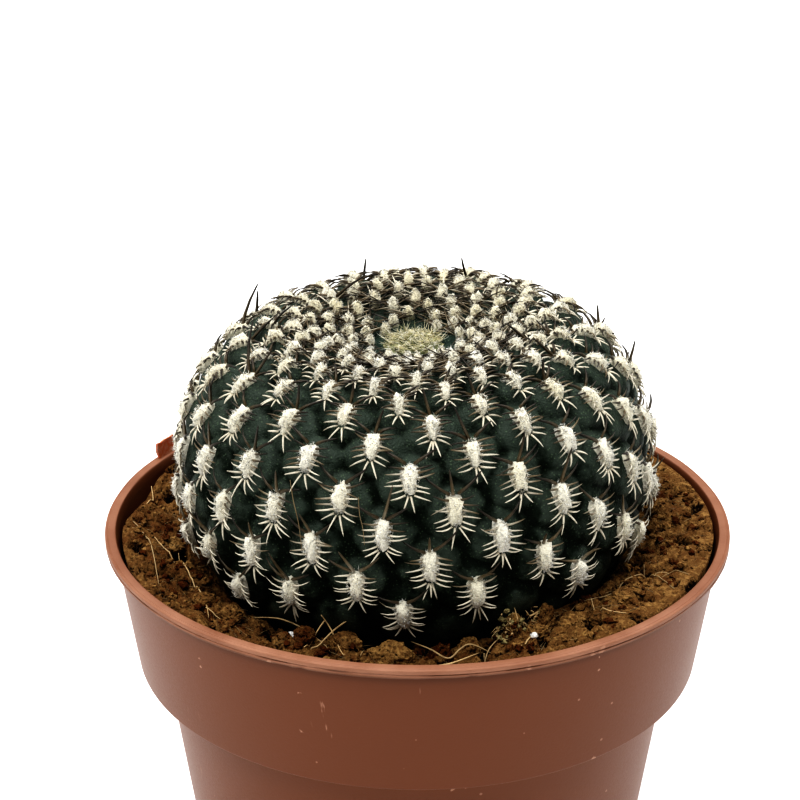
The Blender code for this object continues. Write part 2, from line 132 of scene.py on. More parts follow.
# Spiral rule: twin areoles at each level, and the next level down turned by DIVERGENCE
DIVERGENCE = math.radians(68.754)
FIRST_AZIMUTH = math.radians(-0.4)
FIRST_ARC = 0.0190
BOTTOM_LEVEL = 45
BURIED_LEVEL = 36
FLANK_LEVEL = -46
TOP_LEVEL = -80
NAKED_LEVEL = -94
PAD_SINK = 0.0005
PITCH_ARC = (0.0180, 0.0190, 0.0230, 0.0280, 0.0330, 0.0370, 0.0410, 0.0540)
PITCH_DROP = (0.00067, 0.00075, 0.00066, 0.00067, 0.00054, 0.00038, 0.00029, 0.00033)
# How far right and in front of the outline's axis the spirals' centre lies, and the arcs it slides over
CROWN_SLIDE = (0.00053, 0.00126)
SLIDE_ARCS = (0.0110, 0.0360)
# Young tubercles without felt or spines yet, as (level, twin)
BALD = ((-65, 0), (-76, 0), (-77, 1), (-80, 1))
LOWEST_TIP = POT_HEIGHT - 0.0036

# Soil
SOIL_LEVEL = POT_HEIGHT - 0.0060
SOIL_RADIUS = 0.04905
HOLE_GAP = 0.00035
BRIM_ARC = -0.0163
# How much higher the soil stands at the wall, by azimuth in degrees
BANK_AZIMUTHS = (-180, -130, -114, -104, -96, -86, -72, -52, -34, -14, 10, 24, 36, 60, 80, 100, 116, 150, 180)
BANK_RISES = (
    0.0035, 0.0046, 0.0046, 0.0022, 0.0028, 0.0044, 0.0044, 0.0038, 0.0026, 0.0010,
    0.0008, 0.0034, 0.0047, 0.0049, 0.0052, 0.0052, 0.0055, 0.0046, 0.0035,
)
# The soil's crumbs: (size beside the coarsest, layer, rise, weight in how exposed a place is)
CRUMB_LAYERS = ((1.0, 0.4, 0.00125, 0.44), (0.45, 3.7, 0.00060, 0.34), (0.20, 7.3, 0.00030, 0.26))
PIT_THRESHOLD = 0.17
CRUMB_SINK = 0.0011
# How evenly the bank runs down to the plant, by azimuth: a small power keeps it high up to the plant
SLOPE_AZIMUTHS = (-180, -84, -62, -16, 6, 20, 32, 66, 84, 180)
SLOPE_POWERS = (0.60, 0.60, 1.50, 1.50, 0.60, 0.34, 0.22, 0.30, 0.60, 0.60)
# The biggest clods: (azimuth in degrees, distance from the axis, half length, half width, height, turn, tone)
BIG_CLODS = (
    (5.6, 0.0388, 0.0021, 0.0022, 0.0082, 0.0, 0.15),
    (-5.4, 0.0410, 0.0035, 0.0020, 0.0050, 0.0, 0.9),
    (11.8, 0.0392, 0.0019, 0.0018, 0.0040, 0.3, 0.8),
    (-15.7, 0.0392, 0.0029, 0.0018, 0.0044, -0.2, 0.8),
    (-24.5, 0.0408, 0.0018, 0.0017, 0.0034, 0.4, 0.40),
    (-33.6, 0.0406, 0.0019, 0.0018, 0.0030, 0.2, 0.5),
    (-43.0, 0.0420, 0.0022, 0.0018, 0.0028, 0.2, 0.7),
    (-54.0, 0.0415, 0.0020, 0.0018, 0.0026, 0.9, 0.6),
    (-82.0, 0.0412, 0.0030, 0.0018, 0.0024, 0.1, 0.9),
    (-95.0, 0.0470, 0.0014, 0.0013, 0.0022, 0.1, 0.6),
    (27.0, 0.0400, 0.0026, 0.0020, 0.0028, 0.5, 0.75),
    (34.0, 0.0418, 0.0024, 0.0018, 0.0030, 0.3, 0.85),
    (41.0, 0.0428, 0.0022, 0.0018, 0.0026, 0.6, 0.6),
    (49.0, 0.0425, 0.0022, 0.0018, 0.0026, 0.1, 0.8),
    (118.0, 0.0440, 0.0032, 0.0024, 0.0026, 0.8, 0.7),
    (22.2, 0.0388, 0.0016, 0.0015, 0.0060, 0.0, 1.25),
    (30.0, 0.0392, 0.0018, 0.0014, 0.0048, 0.2, 0.60),
)

# Straw-coloured root fibres: points (x, y, height above the lip) and a radius, all in millimetres
FIBRES = (
    (((-16.9, -39.5, -5.4), (-14.6, -36.2, -2.0), (-11.2, -36.0, 2.0), (-7.4, -37.6, 5.6)), 0.13),
    (((-16.0, -38.9, -5.4), (-12.3, -37.4, -1.8), (-6.8, -37.6, 2.5)), 0.15),
    (((-14.4, -36.6, 0.2), (-12.8, -36.6, -2.6), (-10.7, -41.2, -5.2)), 0.13),
    (((-25.4, -28.8, -4.6), (-21.0, -31.4, -3.4), (-16.6, -35.5, -3.2), (-13.1, -38.7, -4.8)), 0.14),
    (((-48.3, -0.6, -2.2), (-44.3, -8.7, -4.6), (-40.8, -23.4, -5.4)), 0.13),
    (((-39.5, -9.5, -5.2), (-37.2, -15.8, -4.6), (-33.8, -23.8, -4.6), (-32.1, -31.4, -5.4)), 0.13),
    (((-33.8, -23.8, -4.8), (-33.4, -27.5, -4.6), (-30.0, -32.2, -5.2)), 0.11),
    (((-47.2, 14.0, -2.0), (-46.6, 11.3, -3.6), (-47.0, 9.5, -3.4), (-47.4, 6.5, -5.8)), 0.12),
    (((-43.9, -6.2, -5.2), (-41.0, -10.6, -4.8), (-37.4, -14.8, -5.0)), 0.10),
    (((-2.7, -47.6, -4.4), (1.0, -46.4, -3.2), (5.0, -45.4, -2.9), (9.4, -41.0, -3.6)), 0.17),
    ((
        (-0.8, -38.2, -3.4), (2.0, -40.7, -3.2), (4.7, -43.4, -3.2),
        (6.5, -42.0, -2.4), (8.2, -41.7, -1.8), (11.6, -41.2, -3.8),
    ), 0.16),
    (((10.0, -43.1, -4.8), (10.7, -41.4, -3.0), (12.2, -38.8, -2.6), (13.2, -36.6, -3.6)), 0.12),
    (((-9.6, -42.4, -5.4), (-8.5, -40.9, -4.4), (-7.9, -38.8, -4.8)), 0.12),
    ((
        (19.6, -32.4, -4.6), (24.7, -30.0, -3.4), (30.5, -24.8, -3.4),
        (36.4, -20.2, -4.0), (40.2, -19.6, -4.4), (43.2, -21.5, -5.2),
    ), 0.10),
    (((27.0, -29.6, -4.6), (28.9, -33.2, -4.0), (31.9, -34.3, -5.0)), 0.12),
    (((36.4, -18.2, -5.0), (38.2, -21.9, -4.2), (40.2, -26.4, -5.2)), 0.10),
    (((15.4, -42.1, -4.8), (16.8, -39.5, -2.8), (18.9, -35.4, -3.4)), 0.14),
    (((-18.6, -36.4, 22.5), (-18.1, -37.7, 19.8), (-17.3, -38.9, 16.5), (-16.9, -39.5, 12.6)), 0.07),
    (((-8.5, -40.4, 21.7), (-8.3, -41.2, 19.3), (-7.8, -41.8, 17.1), (-7.6, -42.2, 14.8)), 0.06),
)

# Heaps of pale litter: (azimuth in degrees, distance from the axis, spread)
LITTER = ((22.4, 0.0386, 0.0016), (26.5, 0.0384, 0.0015), (19.5, 0.0396, 0.0014))
HEAP_RISE = 0.0036
HEAPED_CRUMBS = 90
# Perlite grains: node, azimuth in degrees, distance from the axis, radius
PERLITE = (
    ("perlite_1", -28.5, 0.0400, 0.00080),
    ("perlite_2", 16.0, 0.0405, 0.00060),
    ("perlite_3", 24.5, 0.0425, 0.00065),
)


# Settings


def length(name, default, description):
    return FloatProperty(name=name, description=description, default=default, unit="LENGTH", precision=5)


def colour(name, default, description):
    return FloatVectorProperty(
        name=name, description=description, default=default, subtype="COLOR", min=0.0, max=1.0
    )


def number(name, default, description, unit="NONE"):
    return FloatProperty(name=name, description=description, default=default, unit=unit)


def whole(name, default, description):
    return IntProperty(name=name, description=description, default=default)


class POTTEDCACTUS_PG_pot(bpy.types.PropertyGroup):
    plastic: colour("Plastic", (0.190, 0.070, 0.030), "Colour of the moulded plastic")
    # This pale colour is also painted light on the lip's front.
    worn: colour("Worn plastic", (0.50, 0.295, 0.205), "Paler colour of the lip and of scuffs")
    torn: colour("Torn plastic", (0.46, 0.17, 0.07), "Colour of the thin torn sliver")
    steps: whole("Steps", 288, "Divisions round the pot")


class POTTEDCACTUS_PG_soil(bpy.types.PropertyGroup):
    brown: colour("Brown", (0.215, 0.118, 0.046), "Colour of most crumbs")
    light: colour("Golden peat", (0.46, 0.29, 0.12), "Colour of the lightest peat and its threads")
    # Painted shade: this colour fills the gaps between crumbs.
    dark: colour("Dark gaps", (0.012, 0.005, 0.002), "Colour deep between crumbs")
    red: colour("Reddish clods", (0.120, 0.040, 0.012), "Colour of the reddest crumbs")
    pale: colour("Pale litter", (0.42, 0.36, 0.19), "Colour of mossy scraps")
    straw: colour("Straw", (0.62, 0.46, 0.25), "Colour of root fibres")
    crumb: length("Crumb", 0.0024, "Spacing of the coarsest crumbs")
    crumbs: whole("Loose crumbs", 1500, "Number of loose crumbs")


class POTTEDCACTUS_PG_plant(bpy.types.PropertyGroup):
    skin: colour("Skin", (0.004, 0.010, 0.004), "Colour of the skin in the valleys")
    # Painted sheen: put on the tubercles' tops and the upper skin in place of the light they catch.
    painted_sheen: colour("Bloom", (0.062, 0.082, 0.064), "Greyish colour of the tubercles' faces")
    young: colour("Young skin", (0.028, 0.048, 0.036), "Colour of new tubercles in the crown")
    relief: length("Tubercle height", 0.0017, "Height of a grown tubercle above its axils")


class POTTEDCACTUS_PG_areoles(bpy.types.PropertyGroup):
    white: colour("White felt", (0.93, 0.92, 0.87), "Colour of fresh felt")
    cream: colour("Cream felt", (0.80, 0.74, 0.53), "Colour of older felt")
    # Painted shade: this colour darkens the hollows of the felt.
    shade: colour("Matted felt", (0.38, 0.30, 0.18), "Colour deep in the matted felt")
    size: number("Pad size", 1.0, "Size of the felt pads, with 1 for true size")
    fuzz: whole("Fuzz hairs", 170, "Short hairs on each areole")


class POTTEDCACTUS_PG_spines(bpy.types.PropertyGroup):
    pale: colour("Pale spine", (0.72, 0.67, 0.55), "Colour of old comb spines")
    brown: colour("Brown spine", (0.17, 0.130, 0.075), "Colour of half-grown spines")
    dark: colour("Dark spine", (0.024, 0.018, 0.012), "Colour of new and upright spines")
    pairs: whole("Comb pairs", 7, "Pairs of comb spines on an areole")
    radius: length("Spine radius", 0.000195, "Radius of a comb spine at its root")


class POTTEDCACTUS_PG_studio(bpy.types.PropertyGroup):
    floor: colour("Floor", (0.93, 0.93, 0.93), "Colour of the floor")
    top: number("Top light", 26.0, "Power of the light overhead", "POWER")
    front: number("Front light", 9.0, "Power of the light in front", "POWER")
    side: number("Side lights", 4.0, "Power of each side light", "POWER")
    sky: number("Sky", 0.15, "Strength of the even light all round")


# Shader graph


class Link:
    """A shader output on which + - * and abs() add Math nodes."""

    def __init__(self, finish, socket):
        self.finish = finish
        self.socket = socket

    def __add__(self, other):
        return self.finish.math("ADD", self, other)

    def __sub__(self, other):
        return self.finish.math("SUBTRACT", self, other)

    def __rsub__(self, other):
        return self.finish.math("SUBTRACT", other, self)

    def __mul__(self, other):
        return self.finish.math("MULTIPLY", self, other)

    def __abs__(self):
        return self.finish.math("ABSOLUTE", self)

    __radd__ = __add__
    __rmul__ = __mul__


class Finish:
    """A material on the Principled shader, whose other nodes all come from add()."""

    def __init__(self, name, roughness=0.5, **constants):
        self.material = bpy.data.materials.new(name)
        self.material.use_nodes = True
        self.tree = self.material.node_tree
        self.shader = self.tree.nodes["Principled BSDF"]
        self.shader.inputs["Roughness"].default_value = roughness
        for socket, value in constants.items():
            self.shader.inputs[socket.replace("_", " ")].default_value = value

    def join(self, value, socket):
        if isinstance(value, Link):
            self.tree.links.new(value.socket, socket)
        elif socket.type == "RGBA":
            socket.default_value = (*value, 1.0)
        else:
            socket.default_value = value

    def add(self, kind, settings, values, output=0):
        """Adds a node: its settings first, then the values or links of its sockets."""
        node = self.tree.nodes.new(kind)
        for name, value in settings.items():
            if name == "stops":
                for index, (position, tone) in enumerate(value):
                    stops = node.color_ramp.elements
                    stop = stops[index] if index < 2 else stops.new(position)
                    stop.position = position
                    stop.color = (*tone, 1.0)
            else:
                setattr(node, name, value)
        for name, value in values.items():
            self.join(value, node.inputs[name])
        return Link(self, node.outputs[output])

    def math(self, operation, *values):
        return self.add("ShaderNodeMath", {"operation": operation}, dict(enumerate(values)))

    def most(self, first, *others):
        """The greatest of several values."""
        for other in others:
            first = self.math("MAXIMUM", first, other)
        return first

    def vector(self, operation, *values, output="Value"):
        return self.add("ShaderNodeVectorMath", {"operation": operation}, dict(enumerate(values)), output)

    def mix(self, factor, first, second, blend="MIX"):
        settings = {"data_type": "RGBA", "blend_type": blend}
        return self.add("ShaderNodeMix", settings, {0: factor, 6: first, 7: second}, output=2)

    def fade(self, value, low, high):
        """0 below low and 1 above high, with a smooth step between."""
        settings = {"interpolation_type": "SMOOTHSTEP"}
        return self.add("ShaderNodeMapRange", settings, {0: value, 1: low, 2: high})

    def place(self):
        return self.add("ShaderNodeTexCoord", {}, {}, output="Object")

    def axis(self, name):
        return self.add("ShaderNodeSeparateXYZ", {}, {0: self.place()}, output=name)

    def attribute(self, name):
        return self.add("ShaderNodeAttribute", {"attribute_name": name}, {}, output="Fac")

    def noise(self, size, detail=3.0, stretch=(1.0, 1.0, 1.0)):
        """Noise with blobs of about the given size in metres."""
        place = self.add("ShaderNodeMapping", {}, {0: self.place(), 3: stretch})
        return self.add("ShaderNodeTexNoise", {}, {"Vector": place, "Scale": 1.0 / size, "Detail": detail})

    def cells(self, size):
        """Distance from the nearest of many scattered points, about the given size apart."""
        values = {"Vector": self.place(), "Scale": 1.0 / size}
        return self.add("ShaderNodeTexVoronoi", {"feature": "F1"}, values, output="Distance")

    def bump(self, height, distance, strength=1.0):
        values = {"Height": height, "Distance": distance, "Strength": strength}
        self.join(self.add("ShaderNodeBump", {}, values), self.shader.inputs["Normal"])

    def paint(self, **links):
        for socket, link in links.items():
            self.join(link, self.shader.inputs[socket.replace("_", " ")])
        return self.material


def dim(tone, share):
    """A colour darkened to a share of itself."""
    return [share * part for part in tone]


# Plant outline and spiral rule


def make_outline(count=160):
    """Arc, radius, height and outward normal of the wool outline, from the taproot's tip to the crown."""
    turn = np.linspace(0.0, math.pi / 2, count)
    cosine, sine = np.clip(np.cos(turn), 0.0, 1.0), np.sin(turn)
    under_radius = GIRTH_RADIUS * cosine ** (2 / UNDER_POWER)
    under_height = GIRTH_HEIGHT - UNDER_DEPTH * sine ** (2 / UNDER_POWER)
    over_radius = CROWN_RADIUS + (GIRTH_RADIUS - CROWN_RADIUS) * cosine ** (2 / OVER_POWER)
    over_height = GIRTH_HEIGHT + OVER_HEIGHT * sine ** (2 / OVER_POWER)
    share = np.linspace(1.0, 0.0, count // 3)[1:]
    fall = 1.0 - share**2
    crown_height = GIRTH_HEIGHT + OVER_HEIGHT - CROWN_DIP * (fall + fall**2) / 2
    radius = np.concatenate([under_radius[::-1], over_radius[1:], CROWN_RADIUS * share])
    height = np.concatenate([under_height[::-1], over_height[1:], crown_height])
    arc = np.concatenate([[0.0], np.cumsum(np.hypot(np.diff(radius), np.diff(height)))])
    arc -= arc[count - 1]
    run, climb = np.gradient(radius, arc), np.gradient(height, arc)
    radius[0] = radius[-1] = climb[0] = climb[-1] = 0.0
    reach = np.hypot(run, climb)
    return arc, radius, height, climb / reach, -run / reach


OUTLINE = make_outline()
ROOT_TIP = float(OUTLINE[0][0])
CROWN_CENTRE = float(OUTLINE[0][-1])
LEAN = np.array((Matrix.Rotation(-LEAN_LEFT, 3, "Y") @ Matrix.Rotation(LEAN_FORWARD, 3, "X")))


def plant_radius(arc):
    return np.interp(arc, OUTLINE[0], OUTLINE[1])


def slide(azimuth, arc):
    """Moves places of the spiral rule towards the spirals' own centre, the more the higher they lie."""
    share = np.interp(arc, SLIDE_ARCS, (0.0, 1.0))
    share = share * share * (3.0 - 2.0 * share)
    across = (CROWN_CENTRE - arc) * np.sin(azimuth) + CROWN_SLIDE[0] * share
    ahead = (CROWN_CENTRE - arc) * np.cos(azimuth) + CROWN_SLIDE[1] * share
    return np.arctan2(across, ahead), CROWN_CENTRE - np.hypot(across, ahead)


def plant_points(azimuth, arc, lift=0.0):
    """Points of the leaning plant at a lift above its skin, as an array with x, y and z last."""
    azimuth, arc = slide(azimuth, arc)
    radius, height, out, up = (np.interp(arc, OUTLINE[0], row) for row in OUTLINE[1:])
    stand = lift - PAD_RISE
    reach = radius + out * stand
    place = [reach * np.sin(azimuth), -reach * np.cos(azimuth), height + up * stand - PLANT_FOOT[2]]
    return np.stack(np.broadcast_arrays(*place), axis=-1) @ LEAN.T + PLANT_FOOT


def unit(vectors):
    return vectors / np.linalg.norm(vectors, axis=-1, keepdims=True)


def plant_frames(azimuth, arc, turn=0.01, step=0.0002):
    """Unit vectors at places on the plant: along the girth, up the meridian, and out of the skin."""
    side = unit(plant_points(azimuth + turn, arc) - plant_points(azimuth - turn, arc))
    climb = unit(plant_points(azimuth, arc + step) - plant_points(azimuth, arc - step))
    return side, climb, np.cross(side, climb)


def drop_at(arc):
    return float(np.interp(arc, PITCH_ARC, PITCH_DROP))


def areoles(top_level, left_out=()):
    """Level, azimuth, arc and scale of every areole down from top_level, with scale 1 for a grown one."""
    arcs = {0: FIRST_ARC}
    for level in range(1, BOTTOM_LEVEL + 1):
        arcs[level] = arcs[level - 1] - drop_at(arcs[level - 1])
    for level in range(-1, top_level - 1, -1):
        arcs[level] = arcs[level + 1] + drop_at(arcs[level + 1])
    full = GIRTH_RADIUS * PITCH_DROP[0]
    rows = []
    for level in sorted(arcs):
        arc = arcs[level]
        scale = min(1.0, math.sqrt(plant_radius(arc) * drop_at(arc) / full) * 1.04)
        for twin in (0, 1):
            if (level, twin) not in left_out:
                rows.append((level, FIRST_AZIMUTH + DIVERGENCE * level + math.pi * twin, arc, scale))
    return np.array(rows)


def grown_areoles():
    """The areoles that show: not the bald ones of the crown, nor the lowest, which the soil hides."""
    table = areoles(TOP_LEVEL, BALD)
    height = plant_points(table[:, 1], table[:, 2])[:, 2]
    return table[(table[:, 0] <= BURIED_LEVEL) | (height > POT_HEIGHT + 0.0015)]


def pad_length(scale):
    """Length of the felt on an areole, up its tubercle."""
    scales = (0.31, 0.36, 0.40, 0.45, 0.58, 0.77, 1.0)
    return np.interp(scale, scales, (0.0018, 0.0023, 0.0030, 0.0037, 0.0046, 0.0053, 0.0061))


def pad_width(scale):
    scales = (0.31, 0.36, 0.45, 0.58, 0.77, 1.0)
    return np.interp(scale, scales, (0.0018, 0.0020, 0.0022, 0.0024, 0.0027, 0.0031))


def perch(scale):
    """How much higher a tubercle of the shoulder stands than one of the flank."""
    return np.interp(scale, (0.36, 0.50, 0.62, 0.85, 1.0), (0.0, 0.0003, 0.0005, 0.0002, 0.0))


def pad_arch(scale):
    """How far the ends of a pad lie below its middle, as it bends over its tubercle."""
    return np.interp(scale, (0.36, 0.45, 0.58, 0.77, 1.0), (0.0002, 0.0008, 0.0013, 0.0010, 0.0003))


# Making pieces


def place_object(name, data):
    item = bpy.data.objects.new(name, data)
    bpy.context.scene.collection.objects.link(item)
    return item


def add_piece(name, mesh, material, replaces=()):
    """Puts a finished mesh in the scene, riding on the frame."""
    piece = place_object(name, mesh)
    mesh.materials.append(material)
    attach(piece, "root")
    if replaces:
        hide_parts(*replaces)


def to_mesh(name, bm, smooth=False):
    mesh = bpy.data.meshes.new(name)
    bm.to_mesh(mesh)
    bm.free()
    if smooth:
        mesh.shade_smooth()
    return mesh


def coordinates(mesh):
    found = np.empty(len(mesh.vertices) * 3)
    mesh.vertices.foreach_get("co", found)
    return found.reshape(-1, 3)


def set_coordinates(mesh, points):
    mesh.vertices.foreach_set("co", np.ascontiguousarray(points, dtype=np.float32).ravel())
    mesh.update()


def set_attributes(mesh, **columns):
    for name, values in columns.items():
        layer = mesh.attributes.new(name, "FLOAT", "POINT")
        layer.data.foreach_set("value", np.ascontiguousarray(values, dtype=np.float32).ravel())


def ball(columns, rows):
    bm = bmesh.new()
    bmesh.ops.create_uvsphere(bm, u_segments=columns, v_segments=rows, radius=1.0)
    return bm


def repeat(name, template, count):
    """A mesh of many copies of a small one, and the template's vertices as an array."""
    unit_mesh = to_mesh(name + "_unit", template)
    points = coordinates(unit_mesh)
    bm = bmesh.new()
    for _ in range(count):
        bm.from_mesh(unit_mesh)
    mesh = to_mesh(name, bm)
    bpy.data.meshes.remove(unit_mesh)
    return mesh, points


def needle(sides, cuts):
    """A closed cone of unit height and root radius, cut into rings so that it can bend."""
    bm = bmesh.new()
    bmesh.ops.create_cone(
        bm, cap_ends=True, segments=sides, radius1=1.0, radius2=0.0, depth=1.0,
        matrix=Matrix.Translation((0.0, 0.0, 0.5)),
    )
    bmesh.ops.remove_doubles(bm, verts=bm.verts[:], dist=MERGE)
    for height in cuts:
        geometry = bm.verts[:] + bm.edges[:] + bm.faces[:]
        bmesh.ops.bisect_plane(bm, geom=geometry, plane_co=(0.0, 0.0, height), plane_no=(0.0, 0.0, 1.0))
    return bm


def grow(name, template, roots, directions, bends, lengths, radii, tones, fullness=0.6):
    """Needles or hairs from arrays of roots: each leaves along its direction and turns towards its bend."""
    count = len(roots)
    mesh, points = repeat(name, template, count)
    along = points[:, 2]
    swell = np.where(along < 1.0, np.maximum(1.0 - along, MERGE) ** (fullness - 1.0), 0.0)
    across = points[:, :2] * swell[:, None]
    aside = np.where(np.abs(directions[:, 2:3]) < 0.9, (0.0, 0.0, 1.0), (1.0, 0.0, 0.0))
    first = unit(np.cross(aside, directions))
    second = np.cross(directions, first)
    reach = lengths[:, None, None]
    spread = radii[:, None, None]
    path = roots[:, None] + directions[:, None] * along[None, :, None] * reach
    path = path + bends[:, None] * (along**2)[None, :, None] * reach
    ring = first[:, None] * across[None, :, :1] + second[:, None] * across[None, :, 1:]
    set_coordinates(mesh, path + ring * spread)
    set_attributes(mesh, along=np.tile(along, count), tone=np.repeat(tones, len(points)))
    mesh.shade_smooth()
    return mesh


def join_meshes(name, meshes):
    """One smooth mesh from several, with their attributes kept."""
    bm = bmesh.new()
    for mesh in meshes:
        bm.from_mesh(mesh)
        bpy.data.meshes.remove(mesh)
    return to_mesh(name, bm, smooth=True)


# Pot


def fillet(corner, before, after, size, steps=3):
    """Points that round a corner of an outline by about the given size."""
    corner, before, after = Vector(corner), Vector(before), Vector(after)
    start = corner.lerp(before, min(0.45, size / max((before - corner).length, MERGE)))
    end = corner.lerp(after, min(0.45, size / max((after - corner).length, MERGE)))
    shares = [index / steps for index in range(steps + 1)]
    return [start.lerp(corner, share).lerp(corner.lerp(end, share), share) for share in shares]


def pot_outline():
    """Half section of the pot as (radius, height): from the axis inside, over the lip and down outside."""
    collar_end = POT_HEIGHT - COLLAR_DEPTH
    ring_inner = FOOT_RADIUS - FOOT_RING_WIDTH
    lip_inner = LIP_RADIUS - LIP_WIDTH
    # Each corner is (radius, height, size of its rounding)
    corners = [
        (0.0, FOOT_LIFT + WALL, 0.0),
        (ring_inner - WALL, FOOT_LIFT + WALL, 0.0006),
        (ring_inner + 0.0006, WALL, 0.0006),
        (FOOT_RADIUS - WALL, WALL, 0.0012),
        (STEM_TOP_RADIUS - WALL, collar_end + WALL, 0.0006),
        (COLLAR_BOTTOM_RADIUS - WALL, collar_end + WALL, 0.0008),
        (COLLAR_TOP_RADIUS - WALL, POT_HEIGHT - LIP_DROP, 0.0002),
        (lip_inner, POT_HEIGHT, 0.0003),
        (LIP_RADIUS - 0.00060, POT_HEIGHT, 0.00010),
        (LIP_RADIUS - 0.00050, POT_HEIGHT - 0.00012, 0.00005),
        (LIP_RADIUS - 0.00040, POT_HEIGHT - 0.00005, 0.00005),
        (LIP_RADIUS - 0.00006, POT_HEIGHT - 0.00012, 0.00022),
        (LIP_RADIUS - 0.00006, POT_HEIGHT - 0.00072, 0.00008),
        (LIP_RADIUS - 0.00020, POT_HEIGHT - 0.00084, 0.00006),
        (LIP_RADIUS - 0.00004, POT_HEIGHT - 0.00098, 0.00008),
        (LIP_RADIUS - 0.00010, POT_HEIGHT - LIP_DROP, 0.00018),
        (COLLAR_TOP_RADIUS, POT_HEIGHT - LIP_DROP, 0.0003),
        (COLLAR_BOTTOM_RADIUS, collar_end, 0.00045),
        (STEM_TOP_RADIUS, collar_end, 0.0006),
        (FOOT_RADIUS, 0.0, 0.0006),
        (ring_inner, 0.0, 0.0005),
        (ring_inner - WALL, FOOT_LIFT, 0.0005),
        (0.0, FOOT_LIFT, 0.0),
    ]
    outline = [corners[0][:2]]
    for before, corner, after in zip(corners, corners[1:], corners[2:]):
        outline += [tuple(point) for point in fillet(corner[:2], before[:2], after[:2], corner[2])]
    return outline + [corners[-1][:2]]


def lip_flaw(azimuth):
    """How far flash and gaps move the lip's lower bead outwards, by azimuth in degrees."""
    flash = 0.00006 * noise.noise(Vector((azimuth * 0.35, 0.0, 0.0)))
    if FLASHED[0] < azimuth < FLASHED[1]:
        flash += 0.00005
    if TRIMMED[0] < azimuth < TRIMMED[1]:
        flash -= 0.00010
    for nick, depth, width in BEAD_GAPS:
        flash -= depth * math.exp(-(((azimuth - nick) / width) ** 2))
    return flash


def wear_lip(bm):
    """Makes the lip a little uneven, as thin moulded plastic is."""
    for vert in bm.verts:
        depth = POT_HEIGHT - vert.co.z
        radius = math.hypot(vert.co.x, vert.co.y)
        if depth > 2 * LIP_DROP or radius < LIP_RADIUS - LIP_WIDTH:
            continue
        azimuth = math.degrees(math.atan2(vert.co.x, -vert.co.y))
        ripple = noise.noise(Vector((vert.co.x, vert.co.y, 0.0)) * 90.0)
        vert.co.z += 0.00010 * (ripple - 0.4)
        change = 0.00004 * (ripple - 1.0)
        if depth > BEAD_TOP and radius > LIP_RADIUS - BEAD_WIDTH:
            change += min(BEAD_OUTSTAND, lip_flaw(azimuth))
        vert.co.x *= 1.0 + change / radius
        vert.co.y *= 1.0 + change / radius


def drain_cutters():
    """A round bar through the base at each drain hole."""
    bm = bmesh.new()
    for index in range(DRAIN_HOLES):
        turn = math.tau * (index + 0.5) / DRAIN_HOLES
        middle = (DRAIN_CIRCLE * math.sin(turn), -DRAIN_CIRCLE * math.cos(turn), FOOT_LIFT)
        bmesh.ops.create_cone(
            bm, cap_ends=True, segments=24, radius1=DRAIN_RADIUS, radius2=DRAIN_RADIUS, depth=8 * WALL,
            matrix=Matrix.Translation(middle),
        )
    return place_object("drain_cutters", to_mesh("drain_cutters", bm))


def cut_with(name, mesh, cutters):
    """The mesh with the cutters taken out of it."""
    item = place_object(name, mesh)
    cut = item.modifiers.new("Drain", "BOOLEAN")
    cut.operation = "DIFFERENCE"
    cut.solver = "EXACT"
    cut.object = cutters
    bpy.context.view_layer.update()
    finished = bpy.data.meshes.new_from_object(item.evaluated_get(bpy.context.evaluated_depsgraph_get()))
    bpy.data.objects.remove(item, do_unlink=True)
    bpy.data.objects.remove(cutters, do_unlink=True)
    return finished


